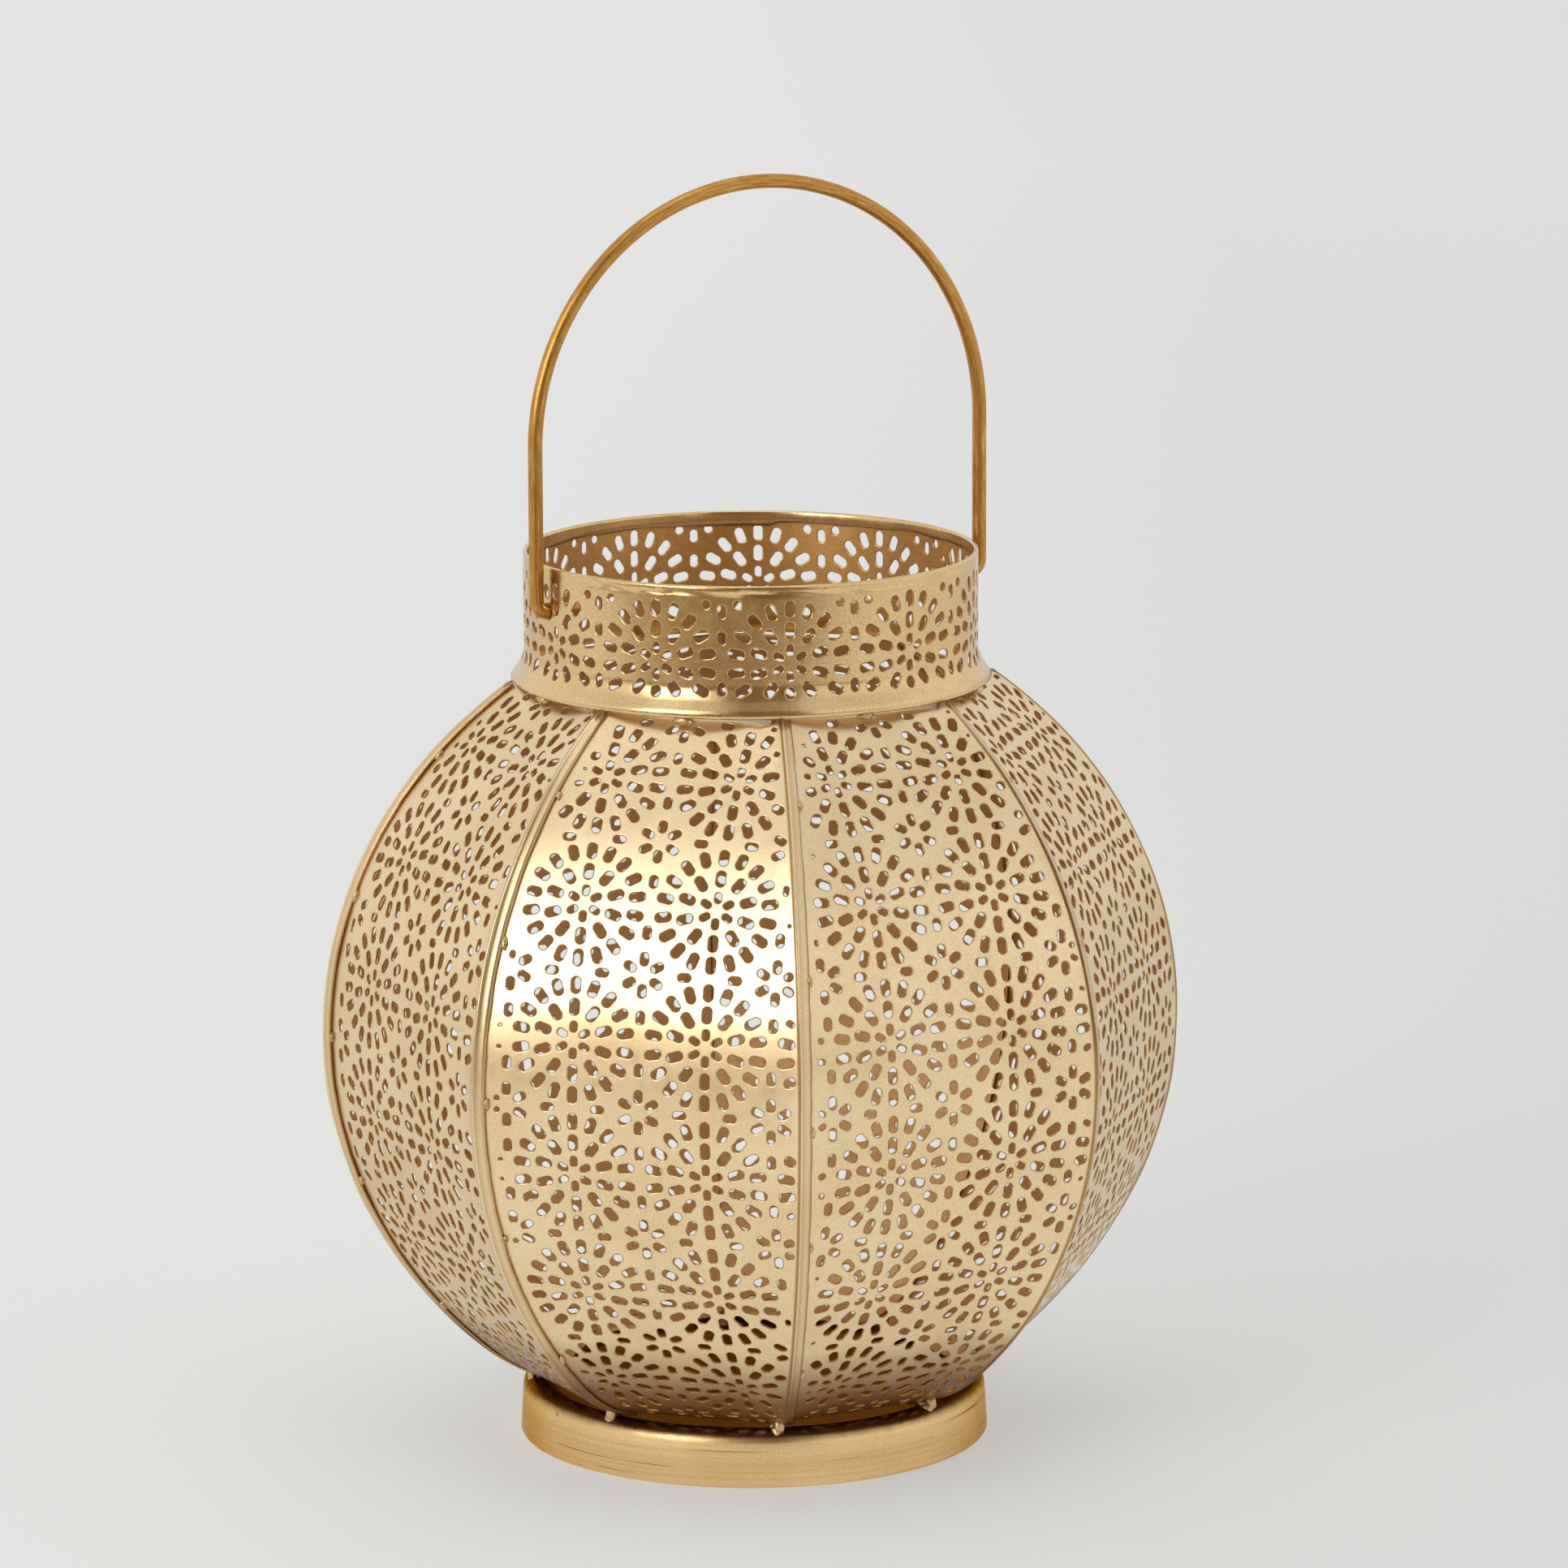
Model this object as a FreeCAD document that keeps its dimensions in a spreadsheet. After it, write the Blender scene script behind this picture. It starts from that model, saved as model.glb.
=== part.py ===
import FreeCAD, Part
import math
import os

import Sketcher

# Hanging candle lantern: eight rolled sheet gores between a round base and a collar, carried by a
# wire bail.  The origin is the centre of the foot ring on the surface it stands on, +Z is up, and
# the bail's two hooks lie on a line along X.  Every size is a cell of the Sizes sheet, in
# millimetres.

doc = FreeCAD.newDocument("Lantern")

# ---------------------------------------------------------------- driving dimensions

SIZES = {
    "sheet_gauge": (0.55, "thickness of the gores' and the collar's sheet"),
    "girth_apothem": (101.7, "axis to the middle of a gore's outer face, at its widest"),
    "girth_raise": (0.85, "how far the widest place is above the gores' mid-height"),
    "curl_radius": (38.0, "radius of the tighter curl at the gores' lower ends"),
    "curl_lean": (76.5, "how far the curl's end leans in from upright, in degrees"),
    "flange_lap": (4.2, "width of the flange that laps onto the next gore"),
    "lap_gap": (0.20, "air between a flange and the gore under it"),
    "edge_gap": (0.15, "air between a gore's tucked edge and its neighbour"),
    "seat_gap": (0.10, "air between the gores' top edges and the collar"),
    "base_gauge": (0.60, "thickness of the base's sheet"),
    "base_rise": (14.4, "height of the base's crown"),
    "base_taper": (0.8, "how much the skirt leans in from foot to shoulder"),
    "shoulder_round": (3.4, "outer radius of the base's shoulder"),
    "crown_width": (1.8, "flat ring between shoulder and dish"),
    "dish_drop": (2.4, "depth of the dish below the crown"),
    "dish_slope": (3.0, "width of the slope from crown to dish"),
    "dish_margin": (2.0, "room round the gores' bottom corners inside the crown"),
    "foot_gap": (0.3, "height of the gores' bottom edges above the crown"),
    "foot_hem": (3.5, "height of the hem folded up inside the foot"),
    "collar_radius": (58.0, "outer radius of the collar's wall"),
    "collar_rise": (33.0, "height of the collar"),
    "collar_level": (198.0, "height of the flare's lower edge"),
    "flare_reach": (3.5, "how far the flare stands out from the wall"),
    "flare_rise": (5.6, "height of the flare"),
    "flare_round": (8.0, "radius where the wall turns into the flare"),
    "hem_depth": (3.2, "depth of the hem folded down inside the mouth"),
    "hem_gap": (0.10, "air inside the folded hem"),
    "strip_lap": (4.6, "overlap where the collar strip's ends meet"),
    "strip_lap_bearing": (140.0, "direction of that overlap, in degrees from +X"),
    "wire_width": (3.66, "diameter of the bail's wire"),
    "eye_clearance": (0.10, "radial play of the wire in its eyes"),
    "eye_drop": (11.5, "height of the mouth above the bail's pivot line"),
    "bail_side_play": (3.0, "room beside the collar for the bail to shift either way"),
    "hook_standoff": (0.10, "air between the nearer hook's bend and the collar"),
    "hook_round": (2.9, "centreline radius of the hooks' bends"),
    "bail_leg": (41.0, "height of the arch's centre above the pivot line"),
    "hook_length": (14.0, "leg centreline to the end of the hook"),
    "foot_bead": (2.6, "radius of the solder bead at each corner of the base"),
    "collar_bead": (2.0, "radius of the solder bead under the flare on each gore"),
    "tack_bead": (1.15, "radius of the tack welds along each lap"),
    "tack_low": (11.0, "height of each seam's lowest tack above the curl"),
    "tack_high": (18.0, "depth of each seam's highest tack below the gores' top"),
}
GORES = 8
TACKS_PER_SEAM = 5
TURN = 360.0 / GORES
HALF_TURN = TURN / 2
ROOM = 400.0  # longer than anything that it cuts
BEYOND = "40"  # how far a cutting shape runs past a gore's ends, on the axis

sheet = doc.addObject("Spreadsheet::Sheet", "Sizes")
for row, (alias, (value, meaning)) in enumerate(SIZES.items(), start=1):
    sheet.set(f"A{row}", meaning)
    sheet.set(f"B{row}", str(value))
    sheet.setAlias(f"B{row}", alias)
doc.recompute()


def size(alias):
    """A cell's value, with its sheet's name in front for use inside an expression."""
    return f"Sizes.{alias}"


# ---------------------------------------------------------------- values that follow from them

TAN = f"tan({HALF_TURN} deg)"
COS = f"cos({HALF_TURN} deg)"

# The base's dish and its crown, from the surface up.
dish_floor_level = f"({size('base_rise')} - {size('dish_drop')})"
gore_bottom = f"({size('base_rise')} + {size('foot_gap')})"
gore_top = f"({size('collar_level')} - {size('seat_gap')})"

# A gore's outer face is a large arc that passes its top edge and the girth, then a tighter curl.
girth_level = f"(({gore_top} + {gore_bottom}) / 2 + {size('girth_raise')})"
top_apothem = f"(({size('collar_radius')} + {size('flare_reach')}) * {COS})"
belly_reach = f"({size('girth_apothem')} - {top_apothem})"
belly_rise = f"({gore_top} - {girth_level})"
belly_radius = f"(({belly_rise} ^ 2 + {belly_reach} ^ 2) / (2 * {belly_reach}))"
belly_axis = f"({size('girth_apothem')} - {belly_radius})"
curl_level = f"({gore_bottom} + {size('curl_radius')} * sin({size('curl_lean')} * 1 deg))"
curl_offset = f"({belly_radius} - {size('curl_radius')})"
curl_drop = f"({girth_level} - {curl_level})"
curl_axis = f"({belly_axis} + sqrt({curl_offset} ^ 2 - {curl_drop} ^ 2))"
curl_start = f"({girth_level} - {belly_radius} * {curl_drop} / {curl_offset})"
foot_apothem = f"({curl_axis} + {size('curl_radius')} * cos({size('curl_lean')} * 1 deg))"
foot_corner = f"({foot_apothem} / {COS})"

mouth_level = f"({size('collar_level')} + {size('collar_rise')})"
pivot_level = f"({mouth_level} - {size('eye_drop')})"
wire_radius = f"({size('wire_width')} / 2)"


def apothem_at(level):
    """Axis to the middle of a gore's outer face at a height above the curl."""
    return f"({belly_axis} + sqrt({belly_radius} ^ 2 - ({level} - {girth_level}) ^ 2))"


def value_of(expression):
    """What an expression comes to now, as a number."""
    value = sheet.evalExpression(expression)
    return float(getattr(value, "Value", value))


def bind(obj, **expressions):
    """Binds properties to expressions; two underscores stand for a dot."""
    for name, expression in expressions.items():
        obj.setExpression(name.replace("__", "."), expression)
    return obj


def place(obj, x="0", y="0", z="0", axis=(0, 0, 1), angle=0.0):
    """Puts an object's base point where three expressions say, turned about an axis."""
    turn = FreeCAD.Rotation(FreeCAD.Vector(*axis), angle)
    obj.Placement = FreeCAD.Placement(FreeCAD.Vector(), turn)
    return bind(obj, Placement__Base__x=x, Placement__Base__y=y, Placement__Base__z=z)


def turned_copy(source, angle, label):
    """The source's shape, turned about the lantern's axis."""
    copy = doc.addObject("Part::Compound", label)
    copy.Label = label
    copy.Links = [source]
    copy.Placement = FreeCAD.Placement(
        FreeCAD.Vector(), FreeCAD.Rotation(FreeCAD.Vector(0, 0, 1), angle)
    )
    return copy


def group(label, members):
    """Several solids under one name."""
    whole = doc.addObject("Part::Compound", label)
    whole.Label = label
    whole.Links = members
    return whole


def common(name, first, second):
    both = doc.addObject("Part::Common", name)
    both.Base, both.Tool = first, second
    return both


def cut(name, first, second):
    rest = doc.addObject("Part::Cut", name)
    rest.Base, rest.Tool = first, second
    return rest


def fuse(name, members):
    whole = doc.addObject("Part::MultiFuse", name)
    whole.Shapes = members
    whole.Refine = True
    return whole


def origin_plane(body, role):
    return next(f for f in body.Origin.OriginFeatures if f.Role == role)


def fix_coordinate(sketch, kind, element, end, expression):
    """Binds one coordinate of a sketch point to an expression."""
    fixed = sketch.addConstraint(
        Sketcher.Constraint(kind, -1, 1, element, end, value_of(expression))
    )
    sketch.setExpression(f"Constraints[{fixed}]", expression)


def fix_point(sketch, element, end, across, up):
    """Binds a sketch point's two coordinates to expressions."""
    fix_coordinate(sketch, "DistanceX", element, end, across)
    fix_coordinate(sketch, "DistanceY", element, end, up)


def fix_radius(sketch, element, expression):
    """Binds an arc's or a circle's radius to an expression."""
    fixed = sketch.addConstraint(Sketcher.Constraint("Radius", element, value_of(expression)))
    sketch.setExpression(f"Constraints[{fixed}]", expression)


def polygon(sketch, corners):
    """A closed outline whose corners' two coordinates are each bound to an expression."""
    points = [FreeCAD.Vector(value_of(across), value_of(up), 0) for across, up in corners]
    count = len(points)
    for i, point in enumerate(points):
        sketch.addGeometry(Part.LineSegment(point, points[(i + 1) % count]), False)
    for i in range(count):
        sketch.addConstraint(Sketcher.Constraint("Coincident", i, 2, (i + 1) % count, 1))
    for i, (across, up) in enumerate(corners):
        fix_point(sketch, i, 1, across, up)


def revolved_body(label, corners):
    """A body turned from one closed outline in the XZ plane about Z."""
    body = doc.addObject("PartDesign::Body", label)
    body.Label = label
    sketch = body.newObject("Sketcher::SketchObject", f"{label}_section")
    sketch.AttachmentSupport = [(origin_plane(body, "XZ_Plane"), "")]
    sketch.MapMode = "FlatFace"
    polygon(sketch, corners)
    turn = body.newObject("PartDesign::Revolution", f"{label}_turned")
    turn.Profile = sketch
    turn.ReferenceAxis = (sketch, ["V_Axis"])
    turn.Angle = 360.0
    doc.recompute()
    return body, turn


def round_edges(body, base, name, radius, level, reach):
    """Rounds the circular edges of one height and radius, given as numbers."""
    names = []
    for index, edge in enumerate(base.Shape.Edges, start=1):
        curve = edge.Curve
        if not isinstance(curve, Part.Circle):
            continue
        if abs(curve.Center.z - level) < 1e-4 and abs(curve.Radius - reach) < 1e-4:
            names.append(f"Edge{index}")
    if not names:
        raise ValueError(f"{name}: no edge at height {level:.3f} and radius {reach:.3f}")
    rounded = body.newObject("PartDesign::Fillet", name)
    rounded.Base = (base, names)
    bind(rounded, Radius=radius)
    doc.recompute()
    return rounded


# ---------------------------------------------------------------- gores
# Each gore is a flat sheet rolled one way only, so it is straight across and an arc from base to
# collar.  Its right-hand edge is folded into a flange that laps over the next gore.


def belly_prism(name, offset, turn, beyond="0"):
    """The space behind a gore's outline, offset outward, as wide as the lantern and turned about Z.

    On the axis it runs past the gore's two ends by the given length.
    """
    sketch = doc.addObject("Sketcher::SketchObject", f"{name}_section")
    upright = FreeCAD.Rotation(FreeCAD.Vector(1, 0, 0), 90)
    sketch.Placement = FreeCAD.Placement(FreeCAD.Vector(), upright)
    belly = f"({belly_radius} + {offset})"
    curl = f"({size('curl_radius')} + {offset})"
    axis_foot = f"({gore_bottom} - {beyond})"
    axis_head = f"({gore_top} + {beyond})"
    end_reach = f"({foot_apothem} - {curl_axis})"
    end_level = f"({curl_level} - sqrt({curl} ^ 2 - {end_reach} ^ 2))"
    top_reach = f"({belly_axis} + sqrt({belly} ^ 2 - {belly_rise} ^ 2))"
    join_turn = -math.asin(value_of(f"{curl_drop} / {curl_offset}"))
    end_turn = -math.acos(value_of(f"{end_reach} / {curl}"))
    top_turn = math.asin(value_of(f"{belly_rise} / {belly}"))
    axis_low = FreeCAD.Vector(0, value_of(axis_foot), 0)
    axis_high = FreeCAD.Vector(0, value_of(axis_head), 0)
    end = FreeCAD.Vector(value_of(foot_apothem), value_of(end_level), 0)
    head = FreeCAD.Vector(value_of(top_reach), value_of(gore_top), 0)
    normal = FreeCAD.Vector(0, 0, 1)
    curl_centre = FreeCAD.Vector(value_of(curl_axis), value_of(curl_level), 0)
    belly_centre = FreeCAD.Vector(value_of(belly_axis), value_of(girth_level), 0)
    curl_circle = Part.Circle(curl_centre, normal, value_of(curl))
    belly_circle = Part.Circle(belly_centre, normal, value_of(belly))
    foot_line, curl_arc, belly_arc, top_line, axis_line = range(5)
    sketch.addGeometry(Part.LineSegment(axis_low, end), False)
    sketch.addGeometry(Part.ArcOfCircle(curl_circle, end_turn, join_turn), False)
    sketch.addGeometry(Part.ArcOfCircle(belly_circle, join_turn, top_turn), False)
    sketch.addGeometry(Part.LineSegment(head, axis_high), False)
    sketch.addGeometry(Part.LineSegment(axis_high, axis_low), False)
    sketch.addConstraint(Sketcher.Constraint("Tangent", curl_arc, 2, belly_arc, 1))
    for one, one_end, other, other_end in (
        (foot_line, 2, curl_arc, 1),
        (belly_arc, 2, top_line, 1),
        (top_line, 2, axis_line, 1),
        (axis_line, 2, foot_line, 1),
    ):
        sketch.addConstraint(Sketcher.Constraint("Coincident", one, one_end, other, other_end))
    fix_point(sketch, foot_line, 1, "0", axis_foot)
    fix_point(sketch, foot_line, 2, foot_apothem, end_level)
    fix_point(sketch, belly_arc, 3, belly_axis, girth_level)
    fix_radius(sketch, belly_arc, belly)
    fix_radius(sketch, curl_arc, curl)
    fix_coordinate(sketch, "DistanceY", top_line, 1, gore_top)
    fix_point(sketch, axis_line, 1, "0", axis_head)
    prism = doc.addObject("Part::Extrusion", name)
    prism.Base = sketch
    prism.DirMode = "Custom"
    prism.Dir = FreeCAD.Vector(0, 1, 0)
    prism.Solid = True
    prism.LengthFwd = ROOM / 2
    prism.LengthRev = ROOM / 2
    prism.Placement = FreeCAD.Placement(FreeCAD.Vector(), FreeCAD.Rotation(normal, turn))
    return prism


def gore():
    """One gore with its flange, facing +X."""
    gauge, lap_gap = size("sheet_gauge"), size("lap_gap")
    outside = common(
        "gore_outside",
        belly_prism("face_outside", "0", 0),
        belly_prism("flange_outside", f"({lap_gap} + {gauge})", TURN),
    )
    inside = common(
        "gore_inside",
        belly_prism("face_inside", f"(0 - {gauge})", 0, BEYOND),
        belly_prism("flange_inside", lap_gap, TURN, BEYOND),
    )
    folded = cut("gore_folded", outside, inside)
    # The other edge stops short of the flange that laps over it.
    tucked = common(
        "gore_tucked",
        folded,
        belly_prism("lapped_edge", f"(0 - {gauge} - {size('edge_gap')})", -TURN, BEYOND),
    )
    # The flange ends on a plane parallel to the seam's own plane.
    beyond = doc.addObject("Part::Box", "beyond_flange")
    bind(beyond, Length=f"{ROOM}", Width=f"{ROOM}", Height=f"{ROOM}")
    flange_end = f"({size('flange_lap')} * {COS})"
    seam = f"({HALF_TURN} deg)"
    place(
        beyond,
        x=f"0 - {flange_end} * sin{seam}",
        y=f"{flange_end} * cos{seam}",
        angle=HALF_TURN,
    )
    return cut("gore", tucked, beyond)


gore_master = gore()
gores = [turned_copy(gore_master, TURN * k, f"gore_panel_{k + 1}") for k in range(GORES)]

# ---------------------------------------------------------------- base
# A pressed round dish, open underneath: hemmed skirt, rounded shoulder and a sunk floor that
# carries the candle.

base_gauge = size("base_gauge")
crown = size("base_rise")
dish_rim = f"({foot_corner} + {size('dish_margin')})"
dish_edge = f"({dish_rim} - {size('dish_slope')})"
skirt_top = f"({dish_rim} + {size('crown_width')} + {size('shoulder_round')})"
foot_radius = f"({skirt_top} + {size('base_taper')})"
hem_top = size("foot_hem")
skirt_at_hem = f"({foot_radius} - {size('base_taper')} * {hem_top} / {crown})"
base_dish, base_turned = revolved_body(
    "base_dish",
    [
        (foot_radius, "0"),
        (skirt_top, crown),
        (dish_rim, crown),
        (dish_edge, dish_floor_level),
        ("0", dish_floor_level),
        ("0", f"{dish_floor_level} - {base_gauge}"),
        (f"{dish_edge} + {base_gauge} / 4", f"{dish_floor_level} - {base_gauge}"),
        (f"{dish_rim} + {base_gauge} / 4", f"{crown} - {base_gauge}"),
        (f"{skirt_top} - {base_gauge}", f"{crown} - {base_gauge}"),
        (f"{skirt_at_hem} - {base_gauge}", hem_top),
        (f"{skirt_at_hem} - 2 * {base_gauge}", hem_top),
        (f"{foot_radius} - 2 * {base_gauge}", "0"),
    ],
)
shoulder = round_edges(
    base_dish, base_turned, "shoulder_outside", size("shoulder_round"),
    value_of(crown), value_of(skirt_top),
)
under_shoulder = round_edges(
    base_dish, shoulder, "shoulder_inside", f"{size('shoulder_round')} - {base_gauge}",
    value_of(f"{crown} - {base_gauge}"), value_of(f"{skirt_top} - {base_gauge}"),
)
base_dish.Tip = under_shoulder

# ---------------------------------------------------------------- collar
# A strip rolled into a ring: a hem folded down inside the mouth, a flare that sits on the gores,
# its two ends lapped and soldered, and two eyes for the bail.

gauge = size("sheet_gauge")
wall = size("collar_radius")
flare_foot = size("collar_level")
flare_length = f"sqrt({size('flare_reach')} ^ 2 + {size('flare_rise')} ^ 2)"
edge_in = f"({gauge} * {size('flare_rise')} / {flare_length})"
edge_down = f"({gauge} * {size('flare_reach')} / {flare_length})"
flare_edge = f"({wall} + {size('flare_reach')})"
bend = f"({gauge} * ({flare_length} - {size('flare_rise')}) / {size('flare_reach')})"
flare_top = f"({flare_foot} + {edge_down} + {size('flare_rise')})"
hem_outside = f"({wall} - {gauge} - {size('hem_gap')})"
collar_ring, collar_turned = revolved_body(
    "collar_ring",
    [
        (flare_edge, f"{flare_foot} + {edge_down}"),
        (wall, flare_top),
        (wall, mouth_level),
        (f"{hem_outside} - {gauge}", mouth_level),
        (f"{hem_outside} - {gauge}", f"{mouth_level} - {size('hem_depth')}"),
        (hem_outside, f"{mouth_level} - {size('hem_depth')}"),
        (hem_outside, f"{mouth_level} - {gauge}"),
        (f"{wall} - {gauge}", f"{mouth_level} - {gauge}"),
        (f"{wall} - {gauge}", f"{flare_top} - {bend}"),
        (f"{flare_edge} - {edge_in}", flare_foot),
    ],
)
flare_outside = round_edges(
    collar_ring, collar_turned, "flare_outside", size("flare_round"),
    value_of(flare_top), value_of(wall),
)
flare_inside = round_edges(
    collar_ring, flare_outside, "flare_inside", f"{size('flare_round')} + {gauge}",
    value_of(f"{flare_top} - {bend}"), value_of(f"{wall} - {gauge}"),
)
lip_outside = round_edges(
    collar_ring, flare_inside, "lip_outside", gauge, value_of(mouth_level), value_of(wall),
)
lip_inside = round_edges(
    collar_ring, lip_outside, "lip_inside", gauge,
    value_of(mouth_level), value_of(f"{hem_outside} - {gauge}"),
)
eyes_sketch = collar_ring.newObject("Sketcher::SketchObject", "eyes_outline")
eyes_sketch.AttachmentSupport = [(origin_plane(collar_ring, "YZ_Plane"), "")]
eyes_sketch.MapMode = "FlatFace"
eye_radius = f"{wire_radius} + {size('eye_clearance')}"
eye_centre = FreeCAD.Vector(0, value_of(pivot_level), 0)
eye_circle = Part.Circle(eye_centre, FreeCAD.Vector(0, 0, 1), value_of(eye_radius))
eyes_sketch.addGeometry(eye_circle, False)
fix_point(eyes_sketch, 0, 3, "0", pivot_level)
fix_radius(eyes_sketch, 0, eye_radius)
eyes = collar_ring.newObject("PartDesign::Pocket", "eyes")
eyes.Profile = eyes_sketch
eyes.Midplane = True
bind(eyes, Length=f"3 * {wall}")
doc.recompute()
collar_ring.Tip = eyes

# The overlap of the strip's ends: a second layer inside the wall, between the flare and the hem.
lap_low = f"({flare_top} + {size('flare_round')} / 2)"
lap_rise = f"({mouth_level} - {size('hem_depth')} - {gauge} - {lap_low})"
lap_angle = f"{size('strip_lap')} / {wall} * 180 / pi"
lap_solids = []
for name, radius in (
    ("lap_outer", f"{wall} - {gauge} / 2"),
    ("lap_inner", f"{wall} - 2 * {gauge}"),
):
    sector = doc.addObject("Part::Cylinder", name)
    bind(sector, Radius=radius, Height=lap_rise, Angle=lap_angle)
    place(sector, z=lap_low, angle=value_of(size("strip_lap_bearing")))
    bind(sector, Placement__Rotation__Angle=size("strip_lap_bearing"))
    lap_solids.append(sector)
collar = fuse("collar", [collar_ring, cut("strip_overlap", *lap_solids)])
collar.Label = "collar"

# ---------------------------------------------------------------- bail
# One length of round wire: a half-circle arch, two straight legs, and a hook bent in at the foot
# of each leg that passes through an eye of the collar and turns in it.


def bend_quarter(name, leg_x, start):
    """A quarter of a torus, from the leg into the hook."""
    corner = doc.addObject("Part::Torus", name)
    bind(corner, Radius1=size("hook_round"), Radius2=wire_radius)
    corner.Angle3 = 90
    place(corner, x=leg_x, z=f"{pivot_level} + {size('hook_round')}", axis=(1, 0, 0), angle=90)
    corner.Placement.Rotation = FreeCAD.Rotation(
        FreeCAD.Vector(1, 0, 0), 90
    ) * FreeCAD.Rotation(FreeCAD.Vector(0, 0, 1), start)
    return corner


bail_pieces = []
shift = size("bail_side_play")
near_leg = f"({wall} + {size('hook_standoff')} + {size('hook_round')})"
half_span = f"({near_leg} + {shift})"
arch_level = f"({pivot_level} + {size('bail_leg')})"
arch = doc.addObject("Part::Torus", "bail_arch")
bind(arch, Radius1=half_span, Radius2=wire_radius)
arch.Angle3 = 180
place(arch, x=shift, z=arch_level, axis=(1, 0, 0), angle=90)
bail_pieces.append(arch)
for side, start, inward in ((-1, 180, 90), (1, 270, -90)):
    name = "left" if side < 0 else "right"
    leg_x = f"({shift} + ({side}) * {half_span})"
    leg = doc.addObject("Part::Cylinder", f"bail_leg_{name}")
    bind(leg, Radius=wire_radius, Height=f"{size('bail_leg')} - {size('hook_round')}")
    place(leg, x=leg_x, z=f"{pivot_level} + {size('hook_round')}")
    centre_x = f"({leg_x} - ({side}) * {size('hook_round')})"
    corner = bend_quarter(f"bail_bend_{name}", centre_x, start)
    hook = doc.addObject("Part::Cylinder", f"bail_hook_{name}")
    bind(hook, Radius=wire_radius, Height=f"{size('hook_length')} - {size('hook_round')}")
    place(hook, x=centre_x, z=pivot_level, axis=(0, 1, 0), angle=inward)
    bail_pieces += [leg, corner, hook]
bail_handle = fuse("bail_handle", bail_pieces)
bail_handle.Label = "bail_handle"

# ---------------------------------------------------------------- solder and tack welds


def bead(name, radius, reach, level, bearing=0.0, along="0"):
    """One ball of solder at a radius and height, in the direction of a bearing from +X."""
    ball = doc.addObject("Part::Sphere", name)
    bind(ball, Radius=radius)
    cos, sin = math.cos(math.radians(bearing)), math.sin(math.radians(bearing))
    return place(
        ball,
        x=f"({reach}) * {cos} - ({along}) * {sin}",
        y=f"({reach}) * {sin} + ({along}) * {cos}",
        z=level,
    )


def ring_of(label, balls):
    """The same balls at every gore, under one name."""
    members = []
    for k in range(GORES):
        members += [turned_copy(ball, TURN * k, f"{ball.Name}_{k + 1}") for ball in balls]
    return group(label, members)


base_solder = ring_of(
    "base_solder",
    [
        bead(
            "foot_bead_ball", size("foot_bead"),
            f"{dish_rim} + {size('crown_width')} / 2", crown,
            bearing=HALF_TURN,
        )
    ],
)
collar_solder = ring_of(
    "collar_solder",
    [
        bead(
            "collar_bead_ball", size("collar_bead"),
            f"{flare_edge} - {size('collar_bead')}", f"{flare_foot} - {size('collar_bead')} / 4",
        )
    ],
)
lowest_tack = f"({curl_start} + {size('tack_low')})"
highest_tack = f"({gore_top} - {size('tack_high')})"
tacks = []
for k in range(TACKS_PER_SEAM):
    share = k / (TACKS_PER_SEAM - 1)
    level = f"({lowest_tack} + ({highest_tack} - {lowest_tack}) * {share})"
    across = f"(0 - {apothem_at(level)} * {TAN} + {size('flange_lap')})"
    tacks.append(
        bead(f"tack_ball_{k + 1}", size("tack_bead"), apothem_at(level), level, along=across)
    )
seam_tacks = ring_of("seam_tacks", tacks)

# ---------------------------------------------------------------- check and write

doc.recompute()
NODES = [*gores, base_dish, collar, bail_handle, base_solder, collar_solder, seam_tacks]
for obj in doc.Objects:
    if "Invalid" in obj.State or "Error" in obj.State:
        raise RuntimeError(f"{obj.Name} failed: {obj.State}")
os.makedirs("parts", exist_ok=True)
for node in NODES:
    shape = node.Shape
    if shape.isNull() or not shape.isValid() or not shape.Solids:
        raise RuntimeError(f"{node.Label} has no valid solid")
    if any(solid.Volume <= 0 for solid in shape.Solids):
        raise RuntimeError(f"{node.Label} has an empty or inside-out solid")
    shape.exportStep(f"parts/{node.Label}.step")
    box = shape.BoundBox
    print(
        f"{node.Label}: {len(shape.Solids)} solids, {shape.Volume:.1f} mm3,"
        f" x {box.XMin:.2f}..{box.XMax:.2f} y {box.YMin:.2f}..{box.YMax:.2f}"
        f" z {box.ZMin:.2f}..{box.ZMax:.2f}"
    )
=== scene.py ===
import math

import bmesh
import bpy
import numpy as np
from mathutils import Matrix, Vector, noise


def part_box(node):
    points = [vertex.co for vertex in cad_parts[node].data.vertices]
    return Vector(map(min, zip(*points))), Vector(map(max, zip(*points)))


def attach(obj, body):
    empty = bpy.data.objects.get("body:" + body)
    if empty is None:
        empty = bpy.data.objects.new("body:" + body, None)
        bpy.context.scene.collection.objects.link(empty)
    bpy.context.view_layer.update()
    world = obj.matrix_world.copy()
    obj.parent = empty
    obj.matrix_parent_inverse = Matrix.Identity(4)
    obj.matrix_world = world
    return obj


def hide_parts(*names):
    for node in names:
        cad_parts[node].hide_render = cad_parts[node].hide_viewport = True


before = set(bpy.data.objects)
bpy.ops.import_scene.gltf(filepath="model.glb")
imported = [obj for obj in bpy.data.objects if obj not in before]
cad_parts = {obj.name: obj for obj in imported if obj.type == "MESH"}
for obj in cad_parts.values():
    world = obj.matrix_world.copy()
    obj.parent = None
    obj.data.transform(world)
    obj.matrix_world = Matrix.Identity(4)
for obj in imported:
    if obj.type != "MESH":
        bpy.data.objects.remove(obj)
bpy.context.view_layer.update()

# ==================== base
# The base is a round dish pressed from thin sheet: a hemmed skirt, a rounded shoulder, a flat
# crown and a sunk floor that carries the candle.  The gores' lower ends are soldered to its crown.

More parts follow.
